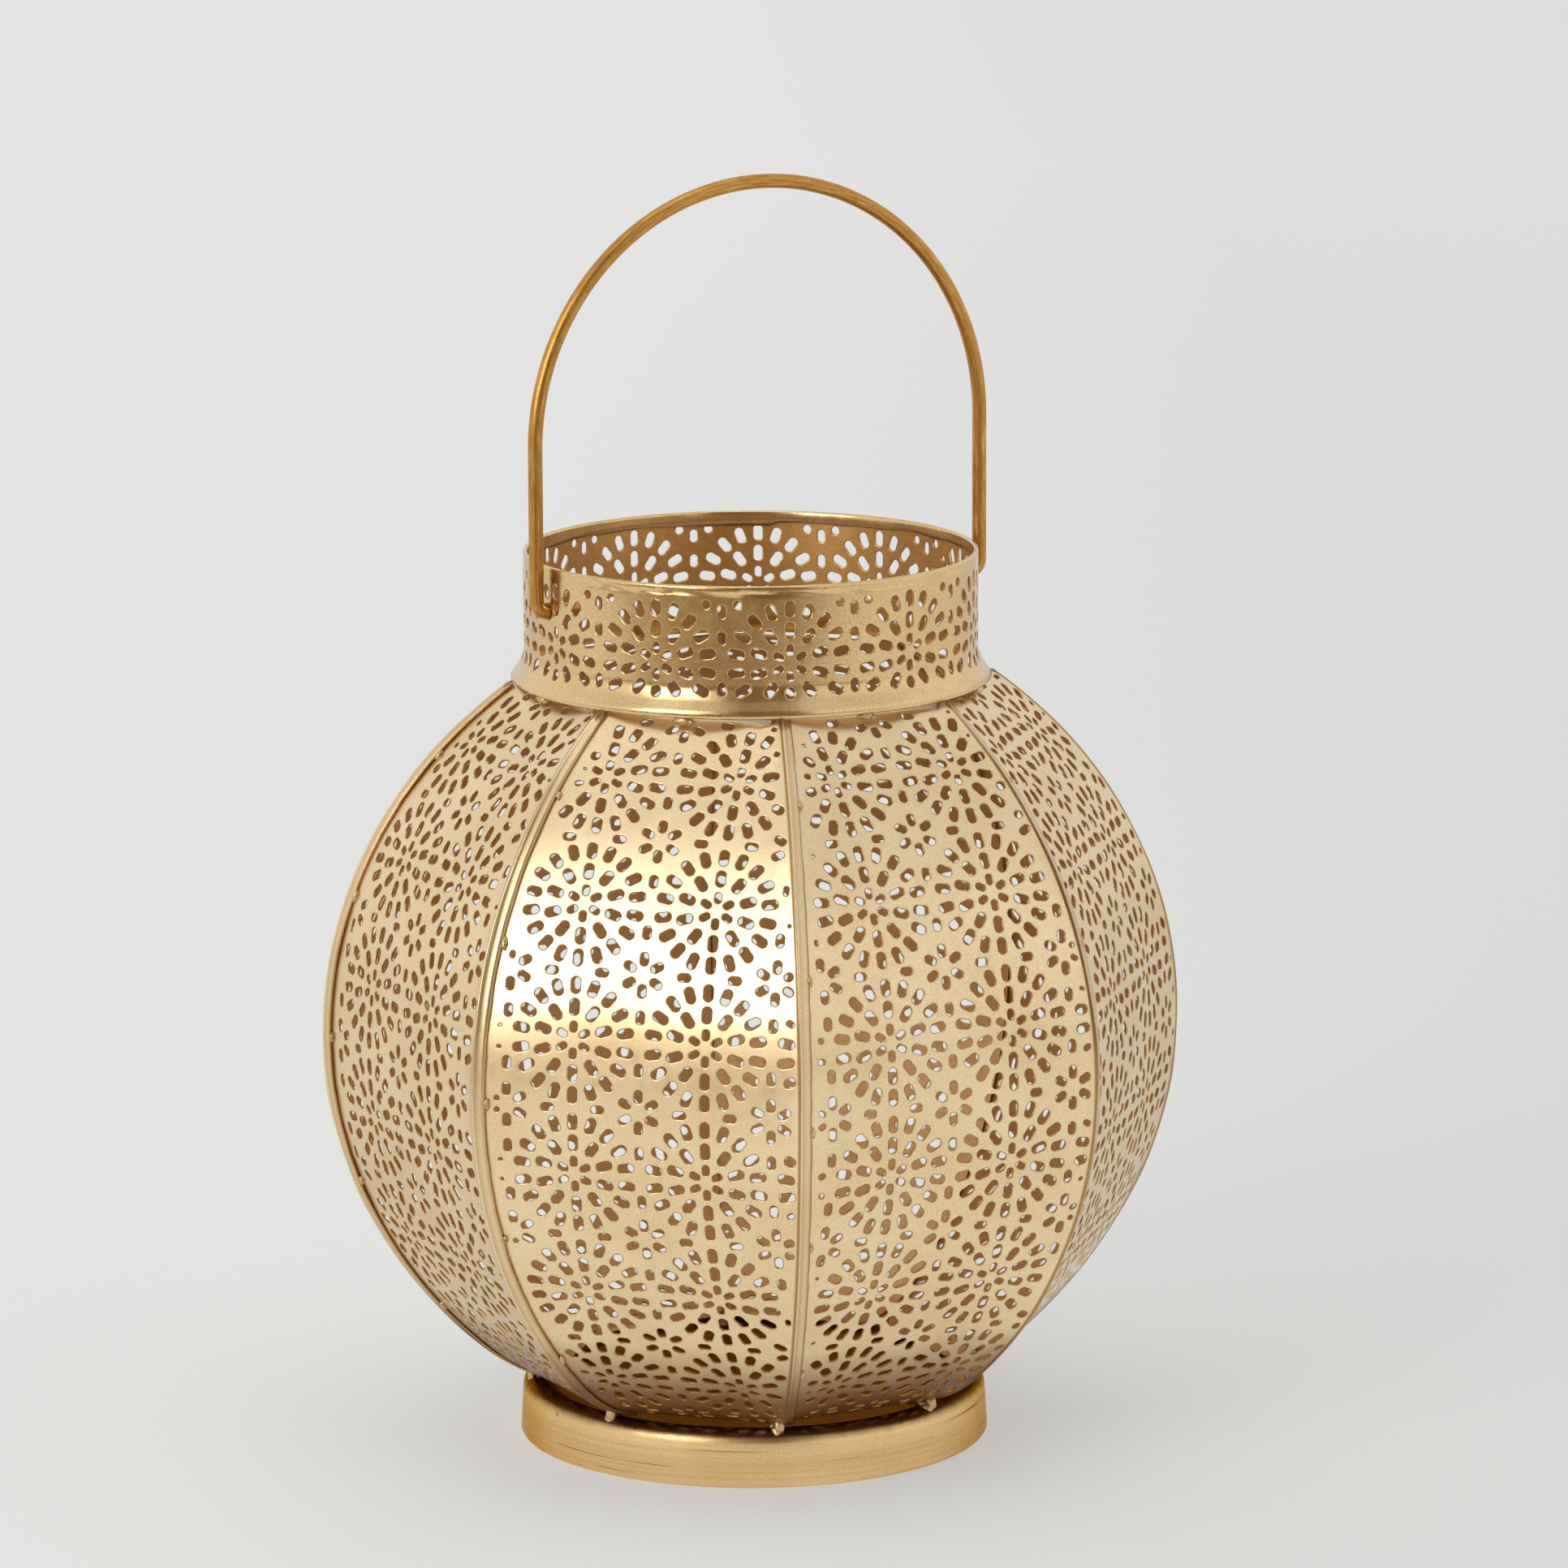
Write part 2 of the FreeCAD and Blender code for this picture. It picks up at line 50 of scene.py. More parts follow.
MM = 0.001
BASE_GAUGE = 0.60 * MM
base_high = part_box("base_dish")[1]
foot_radius = base_high.x
crown_level = base_high.z
shoulder_radius = 3.4 * MM
skirt_top = foot_radius - 0.8 * MM
dish_rim = skirt_top - shoulder_radius - 1.8 * MM
dish_edge = dish_rim - 3.0 * MM
dish_level = crown_level - 2.4 * MM
FLOOR_BEND = 0.7 * MM
FOOT_HEM = 3.5 * MM
EDGE_SOFTENING = 0.25 * MM
BASE_STEPS = 180


def new_piece(name, bm, materials):
    """Turns a finished bmesh into an object that shades smoothly except at its sharp edges."""
    mesh = bpy.data.meshes.new(name)
    for face in bm.faces:
        face.smooth = True
    bm.to_mesh(mesh)
    bm.free()
    piece = bpy.data.objects.new(name, mesh)
    bpy.context.scene.collection.objects.link(piece)
    for material in materials:
        mesh.materials.append(material)
    return piece


def cleaned(bm):
    """Joins the points that lie on each other, and turns every face outwards."""
    bmesh.ops.remove_doubles(bm, verts=bm.verts[:], dist=0.01 * MM)
    bmesh.ops.recalc_face_normals(bm, faces=bm.faces[:])


def mark_sharp(bm, degrees):
    """Marks the edges that turn more than an angle, so that they stay crisp."""
    for edge in bm.edges:
        if len(edge.link_faces) == 2 and edge.calc_face_angle(0.0) > math.radians(degrees):
            edge.smooth = False


def dented(point, depth, spacing, seed):
    """How far hand work has pushed a point in or out."""
    place = Vector(point) / spacing + Vector((seed * 7.3, seed * 3.1, seed * 1.7))
    return depth * noise.noise(place)


def node(tree, kind, **settings):
    """Adds a node with some of its settings."""
    made = tree.nodes.new(kind)
    for key, value in settings.items():
        setattr(made, key, value)
    return made


def sockets(group, inputs, outputs):
    """Gives a node group its named inputs and outputs, and the two nodes that hold them."""
    for in_out, wanted in (("INPUT", inputs), ("OUTPUT", outputs)):
        for name, kind in wanted.items():
            group.interface.new_socket(name=name, in_out=in_out, socket_type="NodeSocket" + kind)
    return node(group, "NodeGroupInput").outputs, node(group, "NodeGroupOutput").inputs


def feed(tree, entry, value):
    """Puts a number, a colour or another node's output into a socket."""
    if isinstance(value, (int, float)):
        entry.default_value = value
    elif isinstance(value, tuple):
        entry.default_value = (*value, 1.0)
    else:
        tree.links.new(value, entry)


def math_node(tree, operation, first, second, clamp=False):
    """Joins two values, each of them a number or another node's output."""
    made = node(tree, "ShaderNodeMath", operation=operation, use_clamp=clamp)
    for index, value in enumerate((first, second)):
        feed(tree, made.inputs[index], value)
    return made.outputs[0]


def mixed(tree, factor, first, second):
    """Mixes two colours by a factor."""
    made = node(tree, "ShaderNodeMix", data_type="RGBA")
    for index, value in ((0, factor), (6, first), (7, second)):
        feed(tree, made.inputs[index], value)
    return made.outputs[2]


def noise_node(tree, vector, scale, detail=3.0, roughness=0.5):
    """Noise of so many cells to the metre."""
    made = node(tree, "ShaderNodeTexNoise")
    made.inputs["Scale"].default_value = scale
    made.inputs["Detail"].default_value = detail
    made.inputs["Roughness"].default_value = roughness
    tree.links.new(vector, made.inputs["Vector"])
    return made.outputs["Fac"]


def ranged(tree, value, low, high, to_low=0.0, to_high=1.0):
    """Stretches the range between low and high onto another, and holds it at both ends."""
    made = node(tree, "ShaderNodeMapRange")
    tree.links.new(value, made.inputs["Value"])
    for index, number in enumerate((low, high, to_low, to_high), 1):
        made.inputs[index].default_value = number
    return made.outputs["Result"]


def height_of(tree, vector):
    """The height in a place or a direction."""
    split = node(tree, "ShaderNodeSeparateXYZ")
    tree.links.new(vector, split.inputs[0])
    return split.outputs["Z"]


def flattened(tree, vector):
    """A place or a direction with its height taken out."""
    flat = node(tree, "ShaderNodeVectorMath", operation="MULTIPLY")
    flat.inputs[1].default_value = (1.0, 1.0, 0.0)
    tree.links.new(vector, flat.inputs[0])
    return flat.outputs[0]


def ragged_height(tree, vector, scale, raggedness):
    """The height of a place, made uneven, for a shade that ends in a ragged line."""
    uneven = math_node(tree, "MULTIPLY", noise_node(tree, vector, scale, 4.0), raggedness)
    return math_node(tree, "ADD", height_of(tree, vector), uneven)


def stretched(tree, vector, scale):
    """A vector scaled along each of its axes, so that a pattern on it is drawn out."""
    made = node(tree, "ShaderNodeMapping")
    made.inputs["Scale"].default_value = scale
    tree.links.new(vector, made.inputs["Vector"])
    return made.outputs["Vector"]


def lacquer_grain():
    """Fine metallic flake, faint cloudiness and rubbed spots of a satin gold lacquer."""
    group = bpy.data.node_groups.new("lacquer_grain", "ShaderNodeTree")
    inputs = {"Vector": "Vector", "Bright": "Color", "Deep": "Color"}
    inputs.update(Flake="Float", Sheen="Float")
    outputs = {"Color": "Color", "Roughness": "Float", "Height": "Float"}
    enter, leave = sockets(group, inputs, outputs)
    flake = noise_node(group, enter["Vector"], 2600.0, 2.0, 0.6)
    cloud = noise_node(group, enter["Vector"], 38.0, 4.0, 0.55)
    wipe = noise_node(group, enter["Vector"], 190.0, 5.0, 0.65)
    spots = ranged(group, flake, 0.36, 0.66)
    haze = ranged(group, cloud, 0.35, 0.70)
    tone = math_node(
        group, "ADD",
        math_node(group, "MULTIPLY", spots, enter["Flake"]),
        math_node(group, "MULTIPLY", haze, 0.35), clamp=True,
    )
    group.links.new(mixed(group, tone, enter["Bright"], enter["Deep"]), leave["Color"])
    # Where it is wiped or speckled the lacquer is duller.
    dull = math_node(group, "MULTIPLY", ranged(group, wipe, 0.3, 0.75), 0.14)
    rough = math_node(
        group, "ADD", math_node(group, "ADD", enter["Sheen"], dull),
        math_node(group, "MULTIPLY", spots, 0.10),
    )
    group.links.new(rough, leave["Roughness"])
    height = math_node(group, "ADD", flake, math_node(group, "MULTIPLY", wipe, 2.5))
    group.links.new(height, leave["Height"])
    return group


def tarnish_marks():
    """Mask of tarnish, dribbles and dirt: large where a surface is old, and streaked by hand."""
    group = bpy.data.node_groups.new("tarnish_marks", "ShaderNodeTree")
    enter, leave = sockets(
        group, {"Vector": "Vector", "Scale": "Float", "Amount": "Float"}, {"Mask": "Float"}
    )
    broad = node(group, "ShaderNodeTexNoise")
    broad.inputs["Detail"].default_value = 6.0
    broad.inputs["Roughness"].default_value = 0.68
    group.links.new(enter["Vector"], broad.inputs["Vector"])
    group.links.new(enter["Scale"], broad.inputs["Scale"])
    lowered = math_node(group, "MULTIPLY", enter["Amount"], 0.35)
    threshold = math_node(group, "SUBTRACT", 0.72, lowered)
    over = math_node(group, "SUBTRACT", broad.outputs["Fac"], threshold)
    mask = math_node(group, "MULTIPLY", over, 9.0, clamp=True)
    group.links.new(mask, leave["Mask"])
    return group


grain = lacquer_grain()
tarnish = tarnish_marks()
RIPPLE_DEPTH = 0.06 * MM


def lacquered(name, bright, deep, flake=0.5, sheen=0.33, bump=0.25, coat=0.0):
    """A satin metallic lacquer.  Gives back the material, its tree, shader, colour and vector."""
    material = bpy.data.materials.new(name)
    material.use_nodes = True
    tree = material.node_tree
    shader = tree.nodes["Principled BSDF"]
    vector = node(tree, "ShaderNodeTexCoord").outputs["Object"]
    surface = node(tree, "ShaderNodeGroup", node_tree=grain)
    for index, value in enumerate((vector, bright, deep, flake, sheen)):
        feed(tree, surface.inputs[index], value)
    shader.inputs["Metallic"].default_value = 1.0
    shader.inputs["Coat Weight"].default_value = coat
    shader.inputs["Coat Roughness"].default_value = 0.10
    shader.inputs["Coat IOR"].default_value = 1.75
    tree.links.new(surface.outputs["Color"], shader.inputs["Base Color"])
    tree.links.new(surface.outputs["Roughness"], shader.inputs["Roughness"])
    ripple = node(tree, "ShaderNodeBump")
    ripple.inputs["Strength"].default_value = bump
    ripple.inputs["Distance"].default_value = RIPPLE_DEPTH
    tree.links.new(surface.outputs["Height"], ripple.inputs["Height"])
    tree.links.new(ripple.outputs["Normal"], shader.inputs["Normal"])
    return material, tree, shader, surface.outputs["Color"], vector


def marked(material, tree, shader, color, vector, shade, scale, amount):
    """Adds tarnish of one shade over a finish's colour."""
    marks = node(tree, "ShaderNodeGroup", node_tree=tarnish)
    for index, value in enumerate((vector, scale, amount)):
        feed(tree, marks.inputs[index], value)
    worn = mixed(tree, marks.outputs["Mask"], color, shade)
    tree.links.new(worn, shader.inputs["Base Color"])


material, tree, shader, color, vector = lacquered(
    "base_lacquer", (0.88, 0.66, 0.36), (0.68, 0.43, 0.16), flake=0.5, sheen=0.24
)
# The skirt was rolled against a wheel, which left long faint lines round it.
wheel = stretched(tree, vector, (9.0, 9.0, 900.0))
lines = noise_node(tree, wheel, 1.0, 5.0, 0.6)
color = mixed(tree, ranged(tree, lines, 0.42, 0.70, 0.0, 0.6), color, (0.62, 0.38, 0.14))
scuffs = noise_node(tree, wheel, 1.9, 2.0, 0.4)
color = mixed(tree, ranged(tree, scuffs, 0.665, 0.70, 0.0, 0.7), color, (0.16, 0.08, 0.03))
# Painted shade: above the shoulder, and inside the dish as well, the lacquer is painted dark brown
# for the gores' dark underside that it reflects and the shade under them.
ragged = ragged_height(tree, vector, 260.0, 0.8 * MM)
shoulder_painted_shade = ranged(tree, ragged, crown_level - 2.6 * MM, crown_level - 0.7 * MM, 0.0, 0.95)
color = mixed(tree, shoulder_painted_shade, color, (0.135, 0.062, 0.020))
reach = node(tree, "ShaderNodeVectorMath", operation="LENGTH")
tree.links.new(flattened(tree, vector), reach.inputs[0])
dish_painted_shade = ranged(tree, reach.outputs["Value"], dish_rim + 0.5 * MM, dish_rim + 2.5 * MM, 0.8, 0.0)
color = mixed(tree, dish_painted_shade, color, (0.15, 0.07, 0.022))
tree.links.new(color, shader.inputs["Base Color"])
shader.inputs["Specular Tint"].default_value = (0.60, 0.42, 0.24, 1.0)
base_finish = (material, tree, shader, color, vector)
marked(*base_finish, (0.20, 0.10, 0.035), 90.0, 0.16)

dish_centre = dish_edge - 24 * MM
hem_inside = foot_radius - 2 * BASE_GAUGE
bm = bmesh.new()
section = [
    (foot_radius - EDGE_SOFTENING, 0.0),
    (foot_radius, 0.35 * MM),
    (skirt_top, crown_level),
    (dish_rim, crown_level),
    (dish_edge, dish_level),
    (dish_centre, dish_level),
    (0.0, dish_level),
    (0.0, dish_level - BASE_GAUGE),
    (dish_centre, dish_level - BASE_GAUGE),
    (dish_edge + 0.15 * MM, dish_level - BASE_GAUGE),
    (dish_rim + 0.15 * MM, crown_level - BASE_GAUGE),
    (skirt_top - BASE_GAUGE, crown_level - BASE_GAUGE),
    (foot_radius - BASE_GAUGE - EDGE_SOFTENING, FOOT_HEM),
    (hem_inside - EDGE_SOFTENING, FOOT_HEM),
    (hem_inside, 0.0),
]
corners = [bm.verts.new((x, 0.0, z)) for x, z in section]
for first, second in zip(corners, corners[1:] + corners[:1]):
    # The two points on the axis aren't joined: the spin closes the floor there.
    if first.co.x or second.co.x:
        bm.edges.new((first, second))
for rounded, radius in (
    ([corners[2]], shoulder_radius),
    ([corners[11]], shoulder_radius - BASE_GAUGE),
    ([corners[3], corners[4], corners[9], corners[10]], FLOOR_BEND),
):
    bmesh.ops.bevel(
        bm, geom=rounded, offset=radius * 0.95, offset_type="OFFSET", segments=8, profile=0.5,
        affect="VERTICES", material=-1,
    )
bmesh.ops.spin(
    bm, geom=bm.verts[:] + bm.edges[:], cent=(0, 0, 0), axis=(0, 0, 1), angle=math.tau,
    steps=BASE_STEPS, use_merge=True,
)
cleaned(bm)
SKIRT_DENT = 0.2 * MM
for vertex in bm.verts:
    bearing = Vector((vertex.co.x, vertex.co.y, 0))
    if bearing.length > dish_rim and 0.4 * MM < vertex.co.z < crown_level - 0.2 * MM:
        dent = dented(vertex.co, SKIRT_DENT, 0.02, 1.0) - SKIRT_DENT / 2
        vertex.co += bearing.normalized() * dent
mark_sharp(bm, 40)
base = new_piece("base", bm, [base_finish[0]])
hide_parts("base_dish")
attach(base, "lantern")

# ==================== gores
# Eight gores of thin sheet, punched flat with bursts of slots and then rolled to one curve.  One
# edge of each is folded out as a flange that laps over the next gore; the other edge is tucked in.

SHEET_GAUGE = 0.55 * MM
GORES = 8
TURN = math.tau / GORES
TAN = math.tan(TURN / 2)
CORNER = math.sqrt(2)
gore_low, gore_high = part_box("gore_panel_3")
gore_bottom, gore_top = gore_low.z, gore_high.z
GIRTH_APOTHEM = 101.7 * MM
girth_level = (gore_bottom + gore_top) / 2 + 0.85 * MM
COLLAR_FOOT = 61.5 * MM
belly_reach = GIRTH_APOTHEM - COLLAR_FOOT * math.cos(TURN / 2)
belly_rise = gore_top - girth_level
belly_radius = (belly_rise ** 2 + belly_reach ** 2) / (2 * belly_reach)
belly_axis = GIRTH_APOTHEM - belly_radius
CURL_RADIUS = 38.0 * MM
CURL_LEAN = math.radians(76.5)
curl_level = gore_bottom + CURL_RADIUS * math.sin(CURL_LEAN)
curl_drop = girth_level - curl_level
curl_axis = belly_axis + math.sqrt((belly_radius - CURL_RADIUS) ** 2 - curl_drop ** 2)
join_turn = math.asin(curl_drop / (belly_radius - CURL_RADIUS))
FLANGE_LAP = 4.2 * MM
FLANGE_AIR = 0.20 * MM + SHEET_GAUGE
TUCK_AIR = 0.15 * MM + SHEET_GAUGE
FOLD_RADIUS = 2.1 * MM
FOLD_STEPS = 7
FOLD_RIDGE = 0.70 * MM
# How brown the lacquer is painted at each row of the fold: painted shade in its two creases, and
# at the raw edge partly lacquer pooled along the lap and partly painted shadow.
FOLD_SHADE_AND_BROWN = (0.8, 0.95, 0.8, 0.0, 0.0, 0.5, 0.35, 0.12, 0.6)

run_top = belly_radius * math.asin(belly_rise / belly_radius)
run_join = -belly_radius * join_turn
run_foot = run_join - CURL_RADIUS * (CURL_LEAN - join_turn)


def reach_at(level, offset=0.0):
    """Axis to the middle of a gore's face at a level, for a face moved out by an offset."""
    if level > girth_level - belly_radius * math.sin(join_turn):
        return belly_axis + math.sqrt((belly_radius + offset) ** 2 - (level - girth_level) ** 2)
    return curl_axis + math.sqrt((CURL_RADIUS + offset) ** 2 - (level - curl_level) ** 2)


def profile_at(run):
    """Reach, level and lean of the sheet a distance along it, up from the girth."""
    if run > run_join:
        lean = run / belly_radius
        return (
            belly_axis + belly_radius * math.cos(lean),
            girth_level + belly_radius * math.sin(lean), lean,
        )
    lean = -join_turn + (run - run_join) / CURL_RADIUS
    return (
        curl_axis + CURL_RADIUS * math.cos(lean), curl_level + CURL_RADIUS * math.sin(lean), lean,
    )


def fold_at(run):
    """Across the sheet to where the fold starts to turn."""
    reach, level = profile_at(run)[:2]
    step = reach_at(level, FLANGE_AIR) - reach
    return reach * TAN + CORNER * step - FOLD_RADIUS * TAN


def flange_at(run):
    """Width of flat flange that is left beyond the fold."""
    reach, level = profile_at(run)[:2]
    step = reach_at(level, FLANGE_AIR) - reach
    return max(FLANGE_LAP - CORNER * step - FOLD_RADIUS * TAN, 0.9 * MM)


def tuck_at(run):
    """Across the sheet to its other edge, which is under the next gore's flange."""
    reach, level = profile_at(run)[:2]
    step = reach - reach_at(level, -TUCK_AIR)
    return -reach * TAN + CORNER * step


FLANGE_LIFT = 0.22 * MM
PANEL_DENT = 0.22 * MM
STIFF_END = 12 * MM


def formed(across, run, gore):
    """Where a point of the flat sheet is once the gore is rolled and its flange folded."""
    reach, level, lean = profile_at(run)
    over = across - fold_at(run)
    side = across
    if over > 0:
        bend = min(over / FOLD_RADIUS, TURN)
        rest = max(over - FOLD_RADIUS * TURN, 0.0)
        lift = FLANGE_LIFT * max(noise.noise(Vector((run * 90, gore * 5.1, 0.4))), 0.0)
        side = fold_at(run) + FOLD_RADIUS * math.sin(bend) + rest * math.cos(TURN)
        lift *= min(rest / (2 * MM), 1.0)
        reach += -FOLD_RADIUS * (1 - math.cos(bend)) - rest * math.sin(TURN) + lift
        # Turning the edge over by hand leaves it standing a little proud.
        ridge = FOLD_RIDGE * math.sin(math.pi * bend / TURN) ** 2
        ridge *= 0.85 + 0.5 * noise.noise(Vector((run * 55, gore * 2.2, 8.8)))
        reach += ridge * math.cos(TURN / 2)
        side += ridge * math.sin(TURN / 2)
    push = dented((side, run, 0), PANEL_DENT, 0.028, gore + 1.5) - PANEL_DENT / 2
    edge = min(1.0, (run_top - run) / STIFF_END, (run - run_foot) / STIFF_END)
    push *= max(edge, 0.0)
    return Vector((reach + push * math.cos(lean), side, level + push * math.sin(lean)))


PERIOD = 34.1 * MM
LONG_SLOT = (0.122 * PERIOD, 0.070 * PERIOD)
SHORT_SLOT = (0.097 * PERIOD, 0.061 * PERIOD)
SMALL_SLOT = (0.081 * PERIOD, 0.052 * PERIOD)
RINGS = ((6, 0.097, SMALL_SLOT), (10, 0.241, LONG_SLOT), (18, 0.400, LONG_SLOT))
BESIDE = 0.19 * PERIOD
FLOWER = 0.117 * PERIOD
SLOT_CORNERS = 12
NARROWEST = 0.75 * MM
LIP = 0.34 * MM
LIP_DEPTH = 0.08 * MM


def burst_slots(across, up):
    """The slots of one burst, with its share of the slots and flowers between bursts."""
    slots = []

    def ring(count, radius, shape, shift=0.0):
        for index in range(count):
            turn = math.pi / 2 + math.tau * index / count
            slots.append((
                across + shift + radius * math.cos(turn), up + shift + radius * math.sin(turn),
                turn, shape,
            ))

    for count, radius, shape in RINGS:
        ring(count, radius * PERIOD, shape)
    for side in (-1, 1):
        slots.append((across + PERIOD / 2, up + side * BESIDE, math.pi / 2, SHORT_SLOT))
        slots.append((across + side * BESIDE, up + PERIOD / 2, 0.0, SHORT_SLOT))
    ring(6, FLOWER, SHORT_SLOT, PERIOD / 2)
    return slots


def punch(bm, layer, across, up, turn, shape, room):
    """Cuts one slot's outline, as far as the die's margin lets it through."""
    length, width = shape
    direction = Vector((math.cos(turn), math.sin(turn), 0))
    centre = Vector((across, up, 0))
    for width in (width, 0.6 * width, NARROWEST):
        length = max(length, width)
        steps = [(index / 12 - 0.5) * (length - width) for index in range(13)]
        clear = [step for step in steps if room(centre + direction * step, width / 2 + LIP)]
        if clear:
            break
    else:
        return
    centre += direction * (clear[-1] + clear[0]) / 2
    length = clear[-1] - clear[0] + width
    made = bmesh.ops.create_circle(
        bm, segments=SLOT_CORNERS, radius=width / 2 + LIP,
        matrix=Matrix.Translation(centre)
        @ Matrix.Rotation(turn + math.pi / SLOT_CORNERS, 4, "Z"),
    )["verts"]
    for vertex in made:
        offset = vertex.co - centre
        vertex[layer] = -offset.normalized()
        side = 1 if offset.dot(direction) > 0 else -1
        vertex.co += direction * side * (length - width) / 2


def sliced(bm, place, normal, clear_outer=False):
    """Cuts rows across a sheet so that it can bend there, or cuts off what is past the plane."""
    bmesh.ops.bisect_plane(
        bm, geom=bm.verts[:] + bm.edges[:] + bm.faces[:], dist=1e-6,
        plane_co=place, plane_no=normal, clear_outer=clear_outer,
    )


def punched_sheet(bm, inward, slots, room):
    """Cuts each slot's outline, a lip wider than the slot, and fills the sheet's outline around
    the slots.
    """
    for across, up, turn, shape in slots:
        punch(bm, inward, across, up, turn, shape, room)
    bmesh.ops.triangle_fill(bm, use_beauty=True, use_dissolve=False, edges=bm.edges[:])
    bm.normal_update()
    downward = [face for face in bm.faces if face.normal.z < 0]
    bmesh.ops.reverse_faces(bm, faces=downward)


def verts_of(geom):
    """The points among what an operator made."""
    return [item for item in geom if isinstance(item, bmesh.types.BMVert)]


def drawn_lips(bm, inward, rim, depth):
    """Draws each slot's lip in from the flat sheet, and marks how near to the cut it is."""
    lip_edges = [
        edge for edge in bm.edges
        if edge.is_boundary and all(v[inward].length > 0.5 for v in edge.verts)
    ]
    for vertex in verts_of(bmesh.ops.extrude_edge_only(bm, edges=lip_edges)["geom"]):
        vertex.co += vertex[inward] * LIP
        vertex[rim] = 1.0
        vertex[depth] = LIP_DEPTH


def read(items, name, width=1, kind=np.float32):
    """One value of every item of a mesh, as an array."""
    values = np.zeros(len(items) * width, kind)
    items.foreach_get(name, values)
    return values.reshape(-1, width) if width > 1 else values


def walled(piece):
    """Gives a formed sheet its gauge, and lets its rolled faces shade as one smooth curve.

    The slots leave the sheet in long uneven facets; each corner takes its normal from the curve.
    """
    wall = piece.modifiers.new("wall", "SOLIDIFY")
    wall.thickness = SHEET_GAUGE
    wall.offset = -1.0
    wall.material_offset = 1
    wall.material_offset_rim = 2
    shown = bpy.context.evaluated_depsgraph_get()
    shown.update()
    mesh = bpy.data.meshes.new_from_object(piece.evaluated_get(shown))
    piece.modifiers.clear()
    piece.data = mesh
    curve = read(mesh.attributes["rolled"].data, "vector", 3)
    cut = read(mesh.attributes["edge_brown_and_fold_shade"].data, "value")
    corner_vertex = read(mesh.loops, "vertex_index", kind=np.int32)
    normals = read(mesh.corner_normals, "vector", 3)
    sizes = read(mesh.polygons, "loop_total", kind=np.int32)
    layer = read(mesh.polygons, "material_index", kind=np.int32)
    starts = np.concatenate(([0], np.cumsum(sizes)[:-1]))
    lipped = np.maximum.reduceat(cut[corner_vertex], starts) > 0.5
    rolled = np.repeat((layer < 2) & ~lipped, sizes)
    facing = np.where(np.repeat(layer, sizes) == 0, 1.0, -1.0)[:, None]
    chosen = rolled & (np.linalg.norm(curve[corner_vertex], axis=1) > 0.5)
    normals[chosen] = (curve[corner_vertex] * facing)[chosen]
    mesh.normals_split_custom_set(normals.tolist())
    for name in ("rolled", "inward", "drawn_depth"):
        mesh.attributes.remove(mesh.attributes[name])


outer_finish = lacquered(
    "gore_lacquer", (0.88, 0.725, 0.46), (0.69, 0.48, 0.215), flake=0.5, sheen=0.24, coat=0.4
)


def browned_and_shaded(finish, shade, strength):
    """Browns a finish towards each slot's cut and along each gore's fold: painted shade in the
    fold's creases, and browning at the cuts and the raw edge.
    """
    material, tree, shader, color, vector = finish
    attribute = node(tree, "ShaderNodeAttribute", attribute_name="edge_brown_and_fold_shade")
    near = math_node(tree, "MULTIPLY", attribute.outputs["Fac"], strength, clamp=True)
    browned = mixed(tree, near, color, shade)
    tree.links.new(browned, shader.inputs["Base Color"])
    return material, tree, shader, browned, vector


outer_finish = browned_and_shaded(outer_finish, (0.34, 0.18, 0.032), 1.0)
material, tree, shader, color, vector = outer_finish
# Painted shade: the gores' feet are painted brown and made duller towards the base, standing in
# for the shade and dark reflections under the belly.
ragged = ragged_height(tree, vector, 70.0, 8 * MM)
foot_painted_shade = ranged(tree, ragged, 46 * MM, 29 * MM, 0.0, 0.97)
tree.links.new(mixed(tree, foot_painted_shade, color, (0.13, 0.048, 0.008)), shader.inputs["Base Color"])
shader.inputs["Specular Tint"].default_value = (0.64, 0.63, 0.65, 1.0)
tree.links.new(ranged(tree, foot_painted_shade, 0.0, 1.0, 1.0, 0.15), shader.inputs["Metallic"])
tree.links.new(ranged(tree, foot_painted_shade, 0.0, 0.5, 0.4, 0.0), shader.inputs["Coat Weight"])
# Painted shade: the inside is a darker, more orange copy of the lacquer, standing in for the dim
# interior.
shaded_inner_finish = lacquered(
    "gore_inside", (0.80, 0.54, 0.27), (0.56, 0.32, 0.12), flake=0.5, sheen=0.36
)
cut_finish = lacquered("slot_cut", (0.66, 0.41, 0.17), (0.36, 0.18, 0.06), flake=0.4, sheen=0.36)

ROW_STEP = 3.6 * MM
CURL_ROW_STEP = 1.8 * MM
FOOT_MARGIN = 2.4 * MM
TOP_MARGIN = 1.2 * MM
TUCK_MARGIN = 4.9 * MM
FOLD_MARGIN = 0.1 * MM
rows = []
run = run_foot
while run < run_top - TOP_MARGIN:
    rows.append(run)
    run += CURL_ROW_STEP if run < run_join else ROW_STEP
rows.append(run_top)
# How far, in millimetres, the strip had slipped across and up under the die for each gore.
REGISTER = (
    (0.0, 0.0), (0.5, -0.4), (-0.6, 0.5), (0.3, 0.7),
    (0.8, -0.2), (1.4, -0.3), (2.1, -0.4), (-0.7, 0.1),
)

